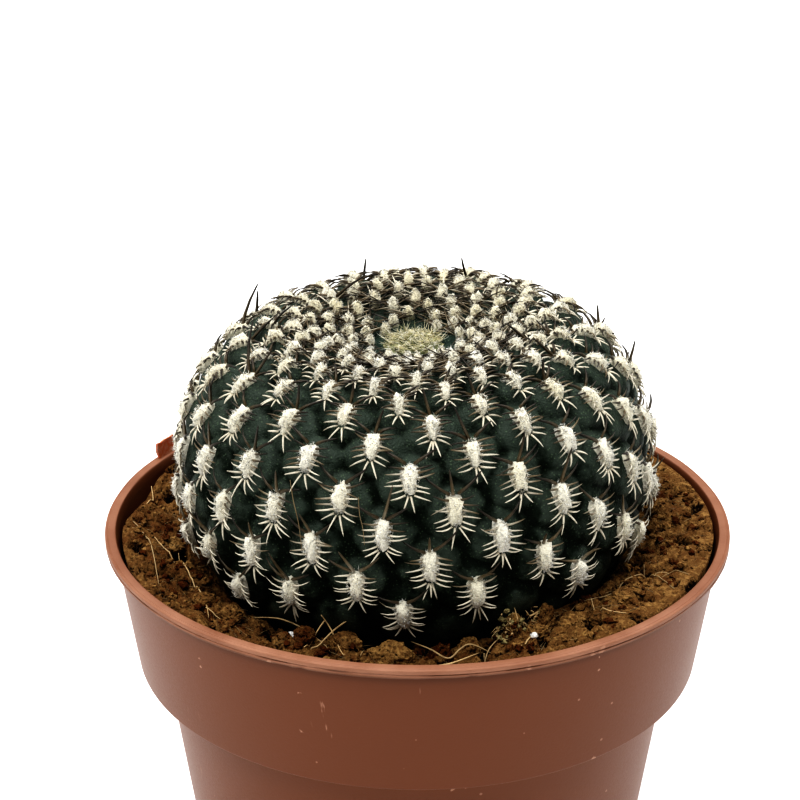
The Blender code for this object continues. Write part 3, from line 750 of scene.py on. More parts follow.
def plastic_finish(settings):
    """Satin moulded plastic: pale and rough where it is worn, with painted light making the lip's front
    palest, and painted shade inside and under the lip.
    """
    finish = Finish("moulded_plastic", Specular_IOR_Level=0.28)
    cloud = finish.noise(0.018, 2.0)
    grain = finish.noise(0.00035, 4.0)
    height, ahead = finish.axis("Z"), finish.axis("Y")
    flat = finish.vector("MULTIPLY", finish.place(), (1.0, 1.0, 0.0), output="Vector")
    radius = finish.vector("LENGTH", flat)
    # Wear and painted light: the lip, partly worn and partly painted light, streaked and palest in front,
    # then specks, scuffs and nicks
    lip = finish.fade(height, POT_HEIGHT - 0.0017, POT_HEIGHT - 0.0009)
    lip = lip * finish.fade(radius, 0.05045, 0.05080)
    streak = finish.noise(0.0016, 4.0, (0.25, 0.25, 1.0))
    # Painted light: the lip is made paler towards the front, where the plant shades it.
    lip = lip * (0.34 + finish.fade(ahead, -0.020, -0.050) * 0.16) * (0.30 + streak * 1.4)
    speck = 1.0 - finish.fade(finish.cells(0.0065), 0.030, 0.045)
    scratch = finish.fade(finish.noise(0.0011, 4.0, (1.0, 1.0, 0.16)), 0.68, 0.76)
    scuff = scratch * finish.fade(finish.noise(0.013, 1.0), 0.60, 0.68)
    ragged = (finish.noise(0.0005, 3.0) - 0.5) * 0.0016
    nick = 0.0
    for degrees, depth, distance, size in NICKS:
        away = finish.vector("DISTANCE", finish.place(), polar(degrees, distance, POT_HEIGHT - depth))
        nick = finish.most(nick, finish.fade(away + ragged, size, 0.4 * size))
    wear_and_lip_light = finish.most(lip, speck * 0.5, scuff * 0.6, nick * 0.75)
    # Colour: clouds of tone all over, then painted shade on the inner wall above the soil, a painted shadow
    # in the band under the lip, and painted shade in the lip's groove
    shade = finish.mix(cloud * 0.35, settings.plastic, dim(settings.plastic, 0.86))
    # Painted shade on the inner wall above the soil.
    inner = finish.fade(radius + (POT_HEIGHT - height) * 0.13, 0.0507, 0.0504)
    shade = finish.mix(inner * finish.fade(height, 0.070, 0.074), shade, dim(settings.plastic, 0.55))
    # Painted shadow that the lip's overhang casts on the collar below it.
    under = finish.fade(height, 0.0882, 0.0900) * finish.fade(height, 0.0911, 0.0906) * 0.6
    # Painted shade in the lip's side groove, which also keeps the pale wear out of it.
    groove_shade = finish.fade(abs(height - (POT_HEIGHT - 0.00090)), 0.00020, 0.00006)
    groove_shade = groove_shade * (0.06 + finish.fade(finish.noise(0.0075, 2.0), 0.44, 0.60) * 0.60)
    shade = finish.mix(finish.most(under, groove_shade), shade, dim(settings.plastic, 0.5))
    wear_and_lip_light = wear_and_lip_light * (1.0 - groove_shade)
    finish.bump(grain, 0.00004, 0.5)
    return finish.paint(
        Base_Color=finish.mix(wear_and_lip_light, shade, settings.worn),
        Roughness=0.33 + grain * 0.16 + wear_and_lip_light * 0.12,
    )


def torn_finish(settings):
    """Thin plastic that lets some light through, paler where it tore."""
    finish = Finish("torn_plastic", roughness=0.4, Subsurface_Weight=0.6, Subsurface_Scale=0.001)
    ragged = finish.fade(finish.noise(0.0006, 4.0), 0.35, 0.65)
    finish.bump(finish.noise(0.0003, 3.0), 0.00008)
    return finish.paint(Base_Color=finish.mix(ragged, settings.torn, settings.worn))


class POTTEDCACTUS_OT_pot(bpy.types.Operator):
    """Make the nursery pot with its worn lip, drain holes and torn sliver"""

    bl_idname = "pottedcactus.pot"
    bl_label = "Nursery pot"

    def execute(self, context):
        settings = context.scene.potted_cactus_pot
        bm = bmesh.new()
        points = [bm.verts.new((radius, 0.0, height)) for radius, height in pot_outline()]
        edges = [bm.edges.new(pair) for pair in zip(points, points[1:])]
        bmesh.ops.spin(
            bm, geom=points + edges, cent=(0.0, 0.0, 0.0), axis=(0.0, 0.0, 1.0), angle=math.tau,
            steps=settings.steps, use_merge=True, use_duplicate=False,
        )
        bmesh.ops.remove_doubles(bm, verts=bm.verts[:], dist=MERGE)
        wear_lip(bm)
        bmesh.ops.recalc_face_normals(bm, faces=bm.faces[:])
        mesh = cut_with("nursery_pot_cut", to_mesh("nursery_pot", bm), drain_cutters())
        mesh.name = "nursery_pot"
        mesh.shade_smooth()
        mesh.set_sharp_from_angle(angle=math.radians(42.0))
        add_piece("nursery_pot", mesh, plastic_finish(settings), ["pot"])
        add_piece("lip_sliver", self.sliver(), torn_finish(settings))
        return {"FINISHED"}

    def sliver(self):
        """A torn, slightly curled chip that stands up from the lip at the back left."""
        width, thickness, height, proud = 0.0038, 0.00055, 0.0042, 0.0029
        bm = bmesh.new()
        bmesh.ops.create_cube(bm, size=1.0)
        bmesh.ops.scale(bm, verts=bm.verts[:], vec=(width, thickness, height))
        bmesh.ops.subdivide_edges(bm, edges=bm.edges[:], cuts=7, use_grid_fill=True)
        for vert in bm.verts:
            rise = 0.5 + vert.co.z / height
            left = 0.5 + vert.co.x / width
            vert.co.x += 0.0013 * left * min(rise / 0.65, 1.0) - 0.0006 * left * max(0.0, rise - 0.65)
            torn = noise.noise(Vector((vert.co.x * 1400.0, 0.0, 5.0)))
            vert.co.z += 0.00025 * torn * rise
            vert.co.y += 0.00035 * rise**2 + 0.00006 * noise.noise(vert.co * 1500.0)
            vert.co.y *= 1.0 - 0.35 * rise
        foot = Vector((0.0, LIP_WIDTH / 2 - LIP_RADIUS, POT_HEIGHT + proud - height / 2))
        place = Matrix.Rotation(SLIVER_AZIMUTH, 4, "Z") @ Matrix.Translation(foot)
        bmesh.ops.transform(bm, verts=bm.verts[:], matrix=place @ Matrix.Rotation(0.10, 4, "X"))
        bmesh.ops.recalc_face_normals(bm, faces=bm.faces[:])
        mesh = to_mesh("lip_sliver", bm, smooth=True)
        mesh.set_sharp_from_angle(angle=math.radians(50.0))
        return mesh


# Soil


def polar(degrees, distance, height=0.0):
    """A point by its azimuth in degrees and its distance from the pot's axis."""
    turn = math.radians(degrees)
    return Vector((distance * math.sin(turn), -distance * math.cos(turn), height))


def crumb(place, size, layer):
    """1 on top of a rounded crumb and 0 in the gaps between crumbs."""
    near = noise.voronoi(Vector((place.x / size, place.y / size, layer)))[0][0]
    return math.sqrt(max(0.0, 1.0 - (near / 0.85) ** 2))


def soil_rise(place, size):
    """Height of the crumbs above the soil's own level, and how exposed the place is from 0 to 1, which sets
    its painted shade.
    """
    swell = noise.noise(place * 130.0)
    pit = max(0.0, noise.noise(place * 240.0 + Vector((9.0, 0.0, 0.0))) - PIT_THRESHOLD)
    rise = open_share = 0.0
    for share, layer, height, weight in CRUMB_LAYERS:
        top = crumb(place, size * share, layer)
        rise += height * top
        open_share += weight * top
    rise = rise + 0.0008 * swell - 0.0058 * pit - CRUMB_SINK
    return rise, min(1.0, max(0.0, open_share - 2.2 * pit))


def soil_finish(settings, name="potting_mix"):
    """Crumbly peat: red-brown to golden where it stands out and finely threaded, with painted shade near
    black in the gaps.
    """
    finish = Finish(name, roughness=0.95, Specular_IOR_Level=0.1)
    open_share = finish.attribute("open")
    tone = finish.attribute("tone")
    patch = finish.noise(0.0035, 3.0)
    grit = finish.noise(0.0007, 5.0)
    pits = finish.noise(0.00045, 5.0)
    thread = finish.fade(abs(finish.noise(0.0012, 1.5) - 0.5), 0.022, 0.004)
    # Painted shade: near black in pits and wherever a place is little exposed, as between crumbs and round
    # the plant.
    deep = finish.fade(open_share * 0.65 + pits * 1.00 + tone * 0.10, 0.74, 1.04)
    body = finish.mix(finish.fade(tone + (patch - 0.5) * 1.2, 0.10, 0.60), settings.red, settings.brown)
    golden = finish.fade(tone + (grit - 0.5) * 2.0 + (patch - 0.5), 0.45, 1.25)
    body = finish.mix(golden, body, settings.light)
    body = finish.mix(thread * 0.35, body, settings.light)
    body = finish.mix(finish.fade(tone, 1.2, 1.8), body, settings.pale)
    finish.bump(pits * 1.0 + grit * 0.8 + thread * 0.2, 0.00065)
    return finish.paint(Base_Color=finish.mix(deep, settings.dark, body))


class POTTEDCACTUS_OT_soil(bpy.types.Operator):
    """Make the potting mix that fills the pot round the plant's foot"""

    bl_idname = "pottedcactus.soil"
    bl_label = "Potting mix"

    COLUMNS = 600
    HOLE_ROWS = 6
    SURFACE_ROWS = 76

    def execute(self, context):
        settings = context.scene.potted_cactus_soil
        rows = self.HOLE_ROWS + self.SURFACE_ROWS + 3
        turns = [math.tau * index / self.COLUMNS for index in range(self.COLUMNS)]
        columns = [self.section(turn, settings.crumb) for turn in turns]
        bm = bmesh.new()
        layers = [bm.verts.layers.float.new(name) for name in ("open", "tone")]
        bmesh.ops.create_grid(bm, x_segments=self.COLUMNS, y_segments=rows, size=0.5)
        for vert in bm.verts:
            index = round((vert.co.x + 0.5) * self.COLUMNS) % self.COLUMNS
            vert.co, vert[layers[0]] = columns[index][round((vert.co.y + 0.5) * rows)]
            vert[layers[1]] = 0.56 + 0.06 * math.sin(turns[index])
        bmesh.ops.remove_doubles(bm, verts=bm.verts[:], dist=MERGE)
        bmesh.ops.recalc_face_normals(bm, faces=bm.faces[:])
        mesh = to_mesh("potting_mix", bm, smooth=True)
        add_piece("potting_mix", mesh, soil_finish(settings), ["soil"])
        return {"FINISHED"}

    def section(self, turn, size):
        """One radial slice: up the plant's hole, over the crumbs, and down the wall to the axis."""
        found = []
        # The hole round the plant is given no exposure, so it takes the painted shade.
        for index in range(self.HOLE_ROWS + 1):
            arc = ROOT_TIP + (BRIM_ARC - ROOT_TIP) * index / self.HOLE_ROWS
            found.append((Vector(plant_points(turn, arc, HOLE_GAP)), 0.0))
        brim = found[-1][0]
        degrees = math.degrees(turn)
        bearing = (degrees + 180.0) % 360.0 - 180.0
        bank = float(np.interp(bearing, BANK_AZIMUTHS, BANK_RISES))
        slope = float(np.interp(bearing, SLOPE_AZIMUTHS, SLOPE_POWERS))
        wall = polar(degrees, SOIL_RADIUS + 0.13 * bank, SOIL_LEVEL)
        rough = 1.25 + 0.55 * max(0.0, math.cos(turn))
        for index in range(1, self.SURFACE_ROWS):
            share = index / (self.SURFACE_ROWS - 1)
            place = brim.lerp(wall, share)
            rise, open_share = soil_rise(Vector((place.x, place.y, 0.0)), size)
            ends = min(1.0, 8.0 * share, 0.25 + 12.0 * (1.0 - share))
            level = brim.z + (SOIL_LEVEL - brim.z) * min(1.0, 3.0 * share) + bank * share**slope
            place.z = min(level + rise * rough * ends, POT_HEIGHT - 0.0006)
            found.append((place, open_share))
        collar_end = POT_HEIGHT - COLLAR_DEPTH + WALL + 0.0003
        floor = FOOT_LIFT + WALL + 0.0003
        found.append((polar(degrees, COLLAR_BOTTOM_RADIUS - WALL - 0.0006, collar_end + 0.0005), 0.0))
        found.append((polar(degrees, STEM_TOP_RADIUS - WALL - 0.0003, collar_end), 0.0))
        found.append((polar(degrees, FOOT_RADIUS - WALL - 0.0004, floor), 0.2))
        found.append((polar(degrees, 0.0, floor), 0.2))
        return found


def ground():
    """The finished soil, for setting things down on it."""
    return BVHTree.FromObject(bpy.data.objects["potting_mix"], bpy.context.evaluated_depsgraph_get())


def ground_height(tree, place):
    """Height of the soil under a place, or its mean level beside it."""
    hit = tree.ray_cast(Vector((place.x, place.y, POT_HEIGHT)), Vector((0.0, 0.0, -1.0)))[0]
    return hit.z if hit else SOIL_LEVEL


def heap_height(place, heap):
    """How high a heap of litter stands at a place: a soft peak."""
    degrees, distance, spread = heap
    away = (Vector((place.x, place.y, 0.0)) - polar(degrees, distance)).length / (1.4 * spread)
    return HEAP_RISE * math.exp(-(away**2))


class POTTEDCACTUS_OT_crumbs(bpy.types.Operator):
    """Scatter clods and loose crumbs over the potting mix"""

    bl_idname = "pottedcactus.crumbs"
    bl_label = "Clods and crumbs"

    LEAST_RADIUS = 0.00028
    RADIUS_SPREAD = 0.00095
    RING_RADIUS = 0.0372
    RING_WIDTH = 0.0115

    def execute(self, context):
        settings = context.scene.potted_cactus_soil
        tree = ground()
        material = soil_finish(settings, "crumbled_mix")
        add_piece("soil_clods", self.clods(tree), material)
        add_piece("soil_crumbs", self.loose(tree, settings.crumbs), material)
        return {"FINISHED"}

    def clods(self, tree):
        """Big clods, each a lump with a crumbled skin, sunk a third into the soil."""
        meshes = []
        for index, (degrees, distance, half_length, half_width, height, turn, tone) in enumerate(BIG_CLODS):
            bm = bmesh.new()
            layers = [bm.verts.layers.float.new(name) for name in ("open", "tone")]
            bmesh.ops.create_icosphere(bm, subdivisions=5, radius=1.0)
            place = polar(degrees, distance)
            place.z = ground_height(tree, place) + 0.15 * height
            spin = Matrix.Rotation(math.radians(degrees) + turn, 3, "Z")
            size = Vector((half_length, half_width, height / 2))
            for vert in bm.verts:
                seat = vert.co * 2.2 + Vector((index * 5.0, 0.0, 0.0))
                lump = 0.26 * noise.noise(seat * 0.7)
                grit = noise.noise(seat * 2.4)
                fine = noise.noise(seat * 6.0)
                swollen = vert.co * (0.92 + lump + 0.12 * grit + 0.07 * fine)
                swollen = Vector([part * span for part, span in zip(swollen, size)])
                # How exposed each point of the clod is, which sets its painted shade.
                vert[layers[0]] = 0.75 + 0.5 * grit + 0.5 * fine
                vert[layers[1]] = tone
                vert.co = spin @ swollen + place
            meshes.append(to_mesh(f"clod_{index}", bm))
        return join_meshes("soil_clods", meshes)

    def loose(self, tree, count):
        """Loose crumbs by a seeded scatter, small ones the most frequent."""
        draw = random.Random(SEED + 3)
        mesh, points = repeat("soil_crumbs", ball(8, 5), count)
        places, open_shares, tones = [], [], []
        for index in range(count):
            heap = LITTER[index % len(LITTER)] if index < HEAPED_CRUMBS else None
            if heap:
                degrees, distance, spread = heap
                offset = Vector((draw.gauss(0.0, spread), draw.gauss(0.0, spread), 0.0))
                place = polar(degrees, distance) + offset
                radius, tone = draw.uniform(0.00025, 0.00060), draw.choice((0.2, 2.0, 2.0))
                pile = draw.uniform(0.0, 1.5)
            else:
                radius = self.LEAST_RADIUS + self.RADIUS_SPREAD * draw.random() ** 3.0
                tone, pile = draw.random(), 0.2
                degrees = draw.uniform(-180.0, 180.0)
                place = polar(degrees, self.RING_RADIUS + (self.RING_WIDTH - radius) * draw.random() ** 0.9)
            place.z = ground_height(tree, place) + pile * radius
            if heap:
                place.z += heap_height(place, heap) * (index % 9 + 1) / 9
            spin = Matrix.Rotation(draw.uniform(0.0, math.tau), 3, "Z")
            turn = spin @ Matrix.Rotation(draw.uniform(-0.6, 0.6), 3, "X")
            size = Vector((1.0, draw.uniform(0.5, 1.0), draw.uniform(0.45, 0.85))) * radius
            for point in points:
                seat = Vector(point) * 1.7 + Vector((index * 3.1, 0.0, 0.0))
                swollen = Vector(point) * (0.85 + 0.60 * noise.noise(seat))
                places.append(turn @ Vector([part * span for part, span in zip(swollen, size)]) + place)
                # Painted shade: each crumb is less exposed, and so darker, towards its underside.
                open_shares.append(0.55 + 0.35 * point[2] + 0.4 * noise.noise(seat * 2.0))
            tones += [tone] * len(points)
        set_coordinates(mesh, np.array(places))
        set_attributes(mesh, open=np.clip(open_shares, 0.0, 1.0), tone=tones)
        return mesh


# Fibres, litter and perlite


def straw_finish(settings):
    """Dry straw from dull to bright by tone, stained in streaks."""
    finish = Finish("dry_straw", roughness=0.6)
    tone = finish.attribute("tone")
    streak = finish.noise(0.0012, 4.0)
    body = finish.mix(tone, dim(settings.straw, 0.30), dim(settings.straw, 1.25))
    return finish.paint(Base_Color=finish.mix(finish.fade(streak, 0.5, 0.75) * 0.45, body, settings.red))


def smooth_path(points, count):
    """Points along a smooth curve through the given ones."""
    knots = [points[0], *points, points[-1]]
    found = []
    for index in range(count):
        share = index / (count - 1) * (len(points) - 1)
        start = min(int(share), len(points) - 2)
        before, first, second, after = (np.array(knot) for knot in knots[start : start + 4])
        part = share - start
        slope = (second - before) * part + (2 * before - 5 * first + 4 * second - after) * part**2
        found.append(first + 0.5 * (slope + (3 * first - before - 3 * second + after) * part**3))
    return np.array(found)


def strand(path, radius, tone, sides=5):
    """A thin closed strand along a path, tapered to both ends."""
    bm = bmesh.new()
    layer = bm.verts.layers.float.new("tone")
    tangents = unit(np.gradient(path, axis=0))
    rings = []
    for index, (point, tangent) in enumerate(zip(path, tangents)):
        share = index / (len(path) - 1)
        size = radius * (0.35 + 0.65 * math.sin(math.pi * min(1.0, 0.15 + share * 0.8)))
        turn = Vector((0.0, 0.0, 1.0)).rotation_difference(Vector(tangent)).to_matrix().to_4x4()
        place = Matrix.Translation(Vector(point)) @ turn
        ends = index in (0, len(path) - 1)
        ring = bmesh.ops.create_circle(bm, cap_ends=ends, segments=sides, radius=size, matrix=place)["verts"]
        for vert in ring:
            vert[layer] = tone
        rings.append(ring)
    for first, second in zip(rings, rings[1:]):
        pair = (first, second)
        edges = {edge for ring in pair for vert in ring for edge in vert.link_edges}
        rims = [edge for edge in edges if any(all(vert in ring for vert in edge.verts) for ring in pair)]
        bmesh.ops.bridge_loops(bm, edges=rims)
    bmesh.ops.recalc_face_normals(bm, faces=bm.faces[:])
    return to_mesh("strand", bm)


class POTTEDCACTUS_OT_fibres(bpy.types.Operator):
    """Lay root fibres, fine hairs, pale litter and perlite on the soil"""

    bl_idname = "pottedcactus.fibres"
    bl_label = "Fibres, litter and perlite"

    def execute(self, context):
        settings = context.scene.potted_cactus_soil
        tree = ground()
        straw = straw_finish(settings)
        add_piece("root_fibres", self.fibres(tree), straw)
        add_piece("fine_fibres", self.fine(tree), straw)
        add_piece("pale_litter", self.litter(tree), straw)
        white = self.perlite_finish()
        for index, (node, *seat) in enumerate(PERLITE):
            grain = self.grain(tree, index, *seat)
            add_piece(f"perlite_grain_{index + 1}", grain, white, [node])
        return {"FINISHED"}

    def fibres(self, tree):
        """The root fibres of FIBRES, laid on the soil where their paths would pass below it."""
        draw = random.Random(SEED + 4)
        strands = []
        for points, radius in FIBRES:
            knots = [np.array(point) * MILLIMETRE + (0.0, 0.0, POT_HEIGHT) for point in points]
            path = smooth_path(knots, 6 * len(points))
            beds = np.array([ground_height(tree, Vector(point)) for point in path]) + radius * MILLIMETRE
            beds = np.maximum(beds, np.maximum(np.roll(beds, 1), np.roll(beds, -1)))
            path[:, 2] = np.maximum(path[:, 2], beds)
            tone = draw.uniform(0.4, 0.9) if radius > 0.09 else 0.12
            strands.append(strand(path, radius * MILLIMETRE, tone))
        return join_meshes("root_fibres", strands)

    def fine(self, tree, count=1100, ring_radius=0.0365, ring_width=0.0120):
        """Short curved hairs of the mix, lying over it in all directions."""
        draw = np.random.default_rng(SEED + 5)
        turns = draw.uniform(-180.0, 180.0, count)
        distances = ring_radius + ring_width * draw.random(count)
        roots = np.array([polar(turn, distance) for turn, distance in zip(turns, distances)])
        for root in roots:
            root[2] = ground_height(tree, Vector(root)) + 0.00005
        heading = draw.uniform(0.0, math.tau, count)
        pitch = draw.uniform(-0.05, 0.15, count)
        directions = unit(np.stack([np.cos(heading), np.sin(heading), pitch], axis=-1))
        bends = np.stack([-np.sin(heading), np.cos(heading), -0.4 + 0 * heading], axis=-1)
        bends *= draw.uniform(-0.5, 0.5, count)[:, None]
        bends[:, 2] = -np.abs(bends[:, 2]) - 0.12
        lengths = 0.0008 + 0.0042 * draw.random(count) ** 2
        radii = draw.uniform(0.00003, 0.00006, count)
        tips = roots + (directions + bends) * lengths[:, None]
        kept = np.hypot(tips[:, 0], tips[:, 1]) < SOIL_RADIUS - 0.0005
        tones = 0.55 * draw.random(count) ** 2
        arrays = [array[kept] for array in (roots, directions, bends, lengths, radii, tones)]
        return grow("fine_fibres", needle(3, (0.25, 0.5, 0.75)), *arrays)

    def litter(self, tree, count=70):
        """Scraps of pale moss and dry skin in the heaps of litter."""
        draw = np.random.default_rng(SEED + 6)
        heaps = draw.integers(0, len(LITTER), count)
        roots = []
        for heap in heaps:
            degrees, distance, spread = LITTER[heap]
            place = polar(degrees, distance) + Vector((*draw.normal(0.0, spread * 0.6, 2), 0.0))
            place.z = ground_height(tree, place) + heap_height(place, LITTER[heap]) * draw.uniform(0.3, 1.1)
            roots.append(place)
        directions = unit(draw.normal(0.0, 1.0, (count, 3)) + (0.0, 0.0, 0.3))
        bends = draw.normal(0.0, 0.45, (count, 3))
        lengths = draw.uniform(0.0006, 0.0022, count)
        radii = draw.uniform(0.00008, 0.00022, count)
        arrays = (np.array(roots), directions, bends, lengths, radii, draw.uniform(0.4, 1.0, count))
        return grow("pale_litter", needle(5, (0.35, 0.7)), *arrays, 0.3)

    def perlite_finish(self):
        finish = Finish("perlite_white", roughness=0.85)
        pores = finish.cells(0.00022)
        finish.bump(pores, 0.00010)
        # Painted shade: greyer down in the pits of the pores.
        pore_shade, white = (0.55, 0.52, 0.47), (0.88, 0.87, 0.84)
        return finish.paint(Base_Color=finish.mix(finish.fade(pores, 0.1, 0.5), pore_shade, white))

    def grain(self, tree, index, degrees, distance, radius):
        """An angular white grain, let down onto the soil."""
        bm = bmesh.new()
        bmesh.ops.create_icosphere(bm, subdivisions=4, radius=radius)
        for vert in bm.verts:
            seat = vert.co / radius * 1.3 + Vector((index * 4.0, 0.0, 0.0))
            vert.co *= 0.84 + 0.30 * noise.noise(seat) + 0.10 * noise.noise(seat * 4.0)
            vert.co.z *= 0.8
        place = polar(degrees, distance)
        place.z = ground_height(tree, place) + 0.45 * radius
        bmesh.ops.translate(bm, verts=bm.verts[:], vec=place)
        return to_mesh(f"perlite_grain_{index + 1}", bm, smooth=True)


# Skin


# How fast a tubercle's pull fades with distance, and from which share of all pulls its mound rises
PULL = 5.0
VALLEY_SHARE = 0.36
MOUND_SHARE = 0.56


def skin_relief(azimuth, arc, table, relief):
    """Lift of the skin at many places, and how near each is to its tubercle's top, from 0 to 1."""
    radius = plant_radius(arc)
    lift, nearness = np.empty_like(arc), np.empty_like(arc)
    _, azimuths, arcs, scales = table.T
    drops = np.interp(arcs, PITCH_ARC, PITCH_DROP)
    spans = np.sqrt(math.pi * plant_radius(arcs) * drops)
    batch = 4000
    for start in range(0, len(arc), batch):
        part = slice(start, start + batch)
        turn = (azimuth[part, None] - azimuths[None] + math.pi) % math.tau - math.pi
        across = radius[part, None] * turn / spans[None]
        along = (arc[part, None] - arcs[None]) / spans[None] + 0.07
        distance = across**2 + along**2
        nearest = distance.argmin(axis=1)
        pull = np.exp(-PULL * distance)
        own = distance[np.arange(len(nearest)), nearest]
        share = np.exp(-PULL * own) / np.maximum(pull.sum(axis=1), 1e-9)
        mound = np.clip((share - VALLEY_SHARE) / MOUND_SHARE, 0.0, 1.0)
        size = scales[nearest]
        fall = np.interp(size, (0.35, 0.45, 0.60, 0.80, 1.0), (0.45, 0.70, 0.85, 0.70, 0.40))
        top = (1.0 - (1.0 - mound) ** 3.0) * (1.0 - fall * np.clip(own / 0.30, 0.0, 1.0))
        tall = relief * np.interp(size, (0.30, 0.45, 0.60, 0.80, 1.0), (0.55, 0.80, 1.20, 1.15, 1.0))
        lift[part] = (top - 0.95) * tall - 0.0003 + top * perch(size)
        nearness[part] = top
    return lift, nearness


def skin_finish(settings):
    """Dark green skin with painted grey sheen on the tubercles' tops and painted light on the upper skin,
    finely pitted.
    """
    finish = Finish("cactus_skin", Specular_IOR_Level=0.16)
    near = finish.attribute("near")
    young = finish.attribute("young")
    blotch = finish.noise(0.0032, 5.0)
    grain = finish.noise(0.00030, 3.0)
    pits = finish.cells(0.00032)
    dot = finish.fade(finish.cells(0.00055), 0.30, 0.14)
    high = finish.attribute("high")
    # Painted sheen on the tubercles' tops and painted light that makes the upper skin paler, broken up by
    # random blotches.
    painted_sheen = finish.fade(near * 0.45 + blotch * 1.2 + high * 0.32, 0.80, 1.20)
    shade = finish.mix(painted_sheen, settings.skin, settings.painted_sheen)
    shade = finish.mix(young, shade, settings.young)
    shade = finish.mix(dot * (painted_sheen * 0.35 + 0.22), shade, (0.15, 0.21, 0.13))
    finish.bump(pits * 0.6 + grain * 0.6, 0.00020, 0.9)
    return finish.paint(Base_Color=shade, Roughness=0.50 - painted_sheen * 0.12 + grain * 0.12)


class POTTEDCACTUS_OT_skin(bpy.types.Operator):
    """Make the plant's body with its spiral rows of tubercles"""

    bl_idname = "pottedcactus.skin"
    bl_label = "Cactus body"

    COLUMNS = 380
    ROWS = 168
    # Share of the rows that the plain buried end takes, and the arc at which it ends
    BURIED_SHARE = 0.08
    BURIED_ARC = -0.020
    # Arcs where tubercles and young skin begin, each with the run of its change, and where skin is high
    BARE = (-0.0195, 0.0030)
    YOUNG = (0.0490, 0.0040)
    HIGH_ARC = 0.030
    ROUGHNESS = 0.00015

    def execute(self, context):
        settings = context.scene.potted_cactus_plant
        mesh = to_mesh("cactus_body", ball(self.COLUMNS, self.ROWS), smooth=True)
        points = coordinates(mesh)
        share = np.arccos(np.clip(-points[:, 2], -1.0, 1.0)) / math.pi
        arc = np.interp(share, (0.0, self.BURIED_SHARE, 1.0), (ROOT_TIP, self.BURIED_ARC, CROWN_CENTRE))
        azimuth = np.arctan2(points[:, 0], -points[:, 1])
        lift, near = skin_relief(azimuth, arc, areoles(NAKED_LEVEL), settings.relief)
        bare = np.clip((arc - self.BARE[0]) / self.BARE[1], 0.0, 1.0)
        lift *= bare
        rough = np.array([noise.noise(Vector(point) * 9.0) for point in points])
        set_coordinates(mesh, plant_points(azimuth, arc, lift + self.ROUGHNESS * rough * bare))
        young = np.clip((arc - self.YOUNG[0]) / self.YOUNG[1], 0.0, 1.0)
        # The high attribute makes the upper skin paler in the finish, as painted light.
        set_attributes(mesh, near=near * bare, high=np.clip(arc / self.HIGH_ARC, 0.0, 1.0), young=young)
        add_piece("cactus_body", mesh, skin_finish(settings), ["cactus"])
        return {"FINISHED"}


# Areoles


def felt_finish(settings):
    """White to cream felt by tone, with painted shade in the hollows of its matted surface."""
    finish = Finish("areole_felt", roughness=0.95, Specular_IOR_Level=0.15, Sheen_Weight=0.7)
    tone = finish.attribute("tone")
    matted = finish.noise(0.00028, 4.0)
    shade = finish.mix(tone, settings.white, settings.cream)
    finish.bump(matted, 0.00035)
    # Painted shade in the felt's hollows, where the matted bump runs low.
    return finish.paint(Base_Color=finish.mix(finish.fade(matted, 0.48, 0.34) * 0.25, shade, settings.shade))


